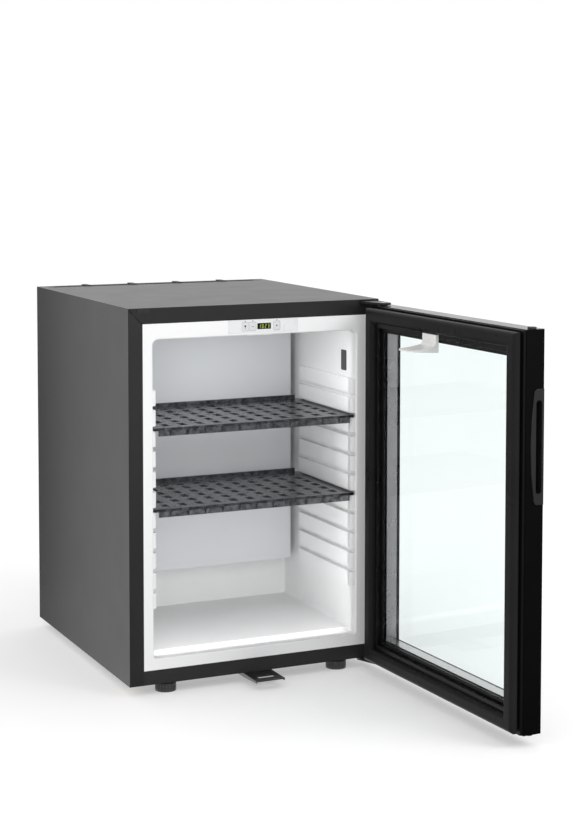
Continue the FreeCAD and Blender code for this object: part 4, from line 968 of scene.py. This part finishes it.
@dataclass
class CoolingUnit(Assembly):
    """Absorption unit and terminal box behind the cabinet."""

    FINISHES: ClassVar[dict[Finish, tuple[str, ...]]] = {
        UNIT_BLACK: ("absorber_vessel", "absorber_coil", "condenser_tube", "solution_pipe"),
        ZINC: ("generator_sleeve", "generator_strap", "vessel_cradles"),
        ALUMINIUM: ("condenser_fins",),
        MATTE_BLACK: ("terminal_box", "terminal_lid", "cable_gland"),
    }

    screw_radius: float = 2.6 * MM
    screw_height: float = 1.2 * MM
    screw_inset: float = 7.0 * MM

    def build(self, wardrobe: Wardrobe) -> None:
        """Adds the lid's four screws.

        Args:
            wardrobe: Makes the materials.
        """
        low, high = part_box("terminal_lid")
        shapes = []
        for x in (low.x + self.screw_inset, high.x - self.screw_inset):
            for z in (low.z + self.screw_inset, high.z - self.screw_inset):
                shapes.append(rear_screw(self.screw_radius, self.screw_height, (x, high.y, z)))
        wardrobe.piece(to_mesh("terminal_lid_screws", shapes), BRIGHT_STEEL, Body.CABINET, "bright_steel")


@dataclass
class Stage:
    """Pale floor, white surroundings and soft studio light."""

    floor_size: float = 80.0
    seen_strength: float = 1.0
    through_strength: float = 1.06
    light_strength: float = 0.95
    shade_strength: float = 0.06
    shade_from: float = -0.06
    shade_to: float = -0.24
    shade_front: float = -0.1
    shade_back: float = 0.4
    key_power: float = 30.0
    key_size: float = 1.6
    key_place: tuple[float, float, float] = (1.9, -2.4, 2.2)
    key_aim: tuple[float, float, float] = (0.05, -0.2, 0.25)
    card_place: tuple[float, float, float] = (-0.27, 0.45, 0.5)
    card_size: tuple[float, float] = (0.14, 1.4)
    card_hidden_from: tuple[str, ...] = ("camera", "diffuse", "transmission", "shadow", "volume_scatter")

    def build(self) -> None:
        """Makes the floor, the grey card, the world and the key light."""
        floor = self.sheet("floor", (0.0, 0.0, 0.0), (self.floor_size, self.floor_size, 0.0), FLOOR_PALE)
        floor.visible_glossy = False
        self.grey_card()
        self.surroundings()
        soft_light("key", self.key_place, self.key_aim, (self.key_size, self.key_size), self.key_power)

    def sheet(self, name: str, place: Sequence[float], size: Sequence[float],
              finish: Finish) -> bpy.types.Object:
        """A flat sheet of the stage, lying down or facing the front.

        Args:
            name: Its name.
            place: Its middle.
            size: Its size along each axis, of which Y or Z is zero.
            finish: Its finish.

        Returns:
            The sheet.
        """
        (x, y, z), (width, depth, height) = place, size
        corners = [(x + side * width / 2, y + rise * depth / 2, z + rise * height / 2)
                   for side, rise in ((-1, -1), (1, -1), (1, 1), (-1, 1))]
        mesh = bpy.data.meshes.new(name)
        mesh.from_pydata(corners, [], [(0, 1, 2, 3)])
        mesh.materials.append(finish.build())
        sheet = bpy.data.objects.new(name, mesh)
        bpy.context.scene.collection.objects.link(sheet)
        return sheet

    def grey_card(self) -> None:
        """Stands a grey card behind the left side, seen only in its gloss.

        It darkens the side's reflections towards the rear.
        """
        width, height = self.card_size
        card = self.sheet("grey_card", self.card_place, (width, 0.0, height), CARD_GREY)
        for ray in self.card_hidden_from:
            setattr(card, f"visible_{ray}", False)

    def surroundings(self) -> None:
        """Sets a white world whose reflections grow dim low down at the front, as in a studio."""
        world = bpy.data.worlds.new("studio")
        world.use_nodes = True
        tree = world.node_tree
        seen = tree.nodes["Background"]
        path = tree.nodes.new("ShaderNodeLightPath")
        through, cast, mirrored = (tree.nodes.new("ShaderNodeBackground") for _ in range(3))
        for background, strength in ((seen, self.seen_strength), (through, self.through_strength),
                                     (cast, self.light_strength)):
            background.inputs["Color"].default_value = WHITE
            background.inputs["Strength"].default_value = strength
        self.shade(tree, mirrored)
        shown = seen.outputs["Background"]
        for ray, background in (("Is Transmission Ray", through), ("Is Diffuse Ray", cast),
                                ("Is Glossy Ray", mirrored)):
            mix = tree.nodes.new("ShaderNodeMixShader")
            tree.links.new(path.outputs[ray], mix.inputs["Fac"])
            tree.links.new(shown, mix.inputs[1])
            tree.links.new(background.outputs["Background"], mix.inputs[2])
            shown = mix.outputs["Shader"]
        tree.links.new(shown, tree.nodes["World Output"].inputs["Surface"])
        bpy.context.scene.world = world

    def shade(self, tree: bpy.types.NodeTree, background: bpy.types.Node) -> None:
        """Dims what surfaces mirror from low down in front of the fridge.

        Args:
            tree: The world's node tree.
            background: The background that mirrors see.
        """
        direction = tree.nodes.new("ShaderNodeTexCoord").outputs[Coordinates.GENERATED.value]
        split = tree.nodes.new("ShaderNodeSeparateXYZ")
        tree.links.new(direction, split.inputs["Vector"])
        low = tree.nodes.new("ShaderNodeMapRange")
        low.inputs["From Min"].default_value = self.shade_to
        low.inputs["From Max"].default_value = self.shade_from
        low.inputs["To Min"].default_value = self.shade_strength
        tree.links.new(split.outputs["Z"], low.inputs["Value"])
        near = tree.nodes.new("ShaderNodeMapRange")
        near.inputs["From Min"].default_value = self.shade_front
        near.inputs["From Max"].default_value = self.shade_back
        tree.links.new(split.outputs["Y"], near.inputs["Value"])
        strength = tree.nodes.new("ShaderNodeMath")
        strength.operation = "MAXIMUM"
        tree.links.new(low.outputs["Result"], strength.inputs[0])
        tree.links.new(near.outputs["Result"], strength.inputs[1])
        tree.links.new(strength.outputs["Value"], background.inputs["Strength"])
        background.inputs["Color"].default_value = WHITE


@dataclass
class PhotoCamera:
    """Camera at the photograph's place, from a pinhole fit to the fridge's edges."""

    eye: tuple[float, float, float] = (-1.0905, -2.6657, 0.8045)
    yaw: float = -0.4268
    pitch: float = 0.0677
    focal_pixels: float = 1835.7
    principal_shift: tuple[float, float] = (-20.0, -150.0)

    def build(self) -> None:
        """Makes the camera and makes it the scene's."""
        data = bpy.data.cameras.new("photo_camera")
        data.sensor_width = SENSOR_WIDTH
        data.lens = self.focal_pixels / IMAGE_LONG_SIDE * SENSOR_WIDTH
        data.shift_x = -self.principal_shift[0] / IMAGE_LONG_SIDE
        data.shift_y = self.principal_shift[1] / IMAGE_LONG_SIDE
        camera = bpy.data.objects.new("photo_camera", data)
        camera.location = self.eye
        camera.rotation_euler = (math.pi / 2 - self.pitch, 0.0, self.yaw)
        bpy.context.scene.collection.objects.link(camera)
        bpy.context.scene.camera = camera


def main() -> None:
    """Builds the stage and camera, then dresses each sub-assembly in turn."""
    logging.basicConfig(level=logging.INFO, format="%(name)s: %(message)s")
    bpy.context.scene.view_settings.view_transform = "Standard"
    wardrobe = Wardrobe()
    Stage().build()
    PhotoCamera().build()
    for assembly in (CabinetShell(), Cavity(), Shelves(), ControlPanel(), Door(), CoolingUnit()):
        assembly.dress(wardrobe)
        assembly.build(wardrobe)


if __name__ == "__main__":
    main()
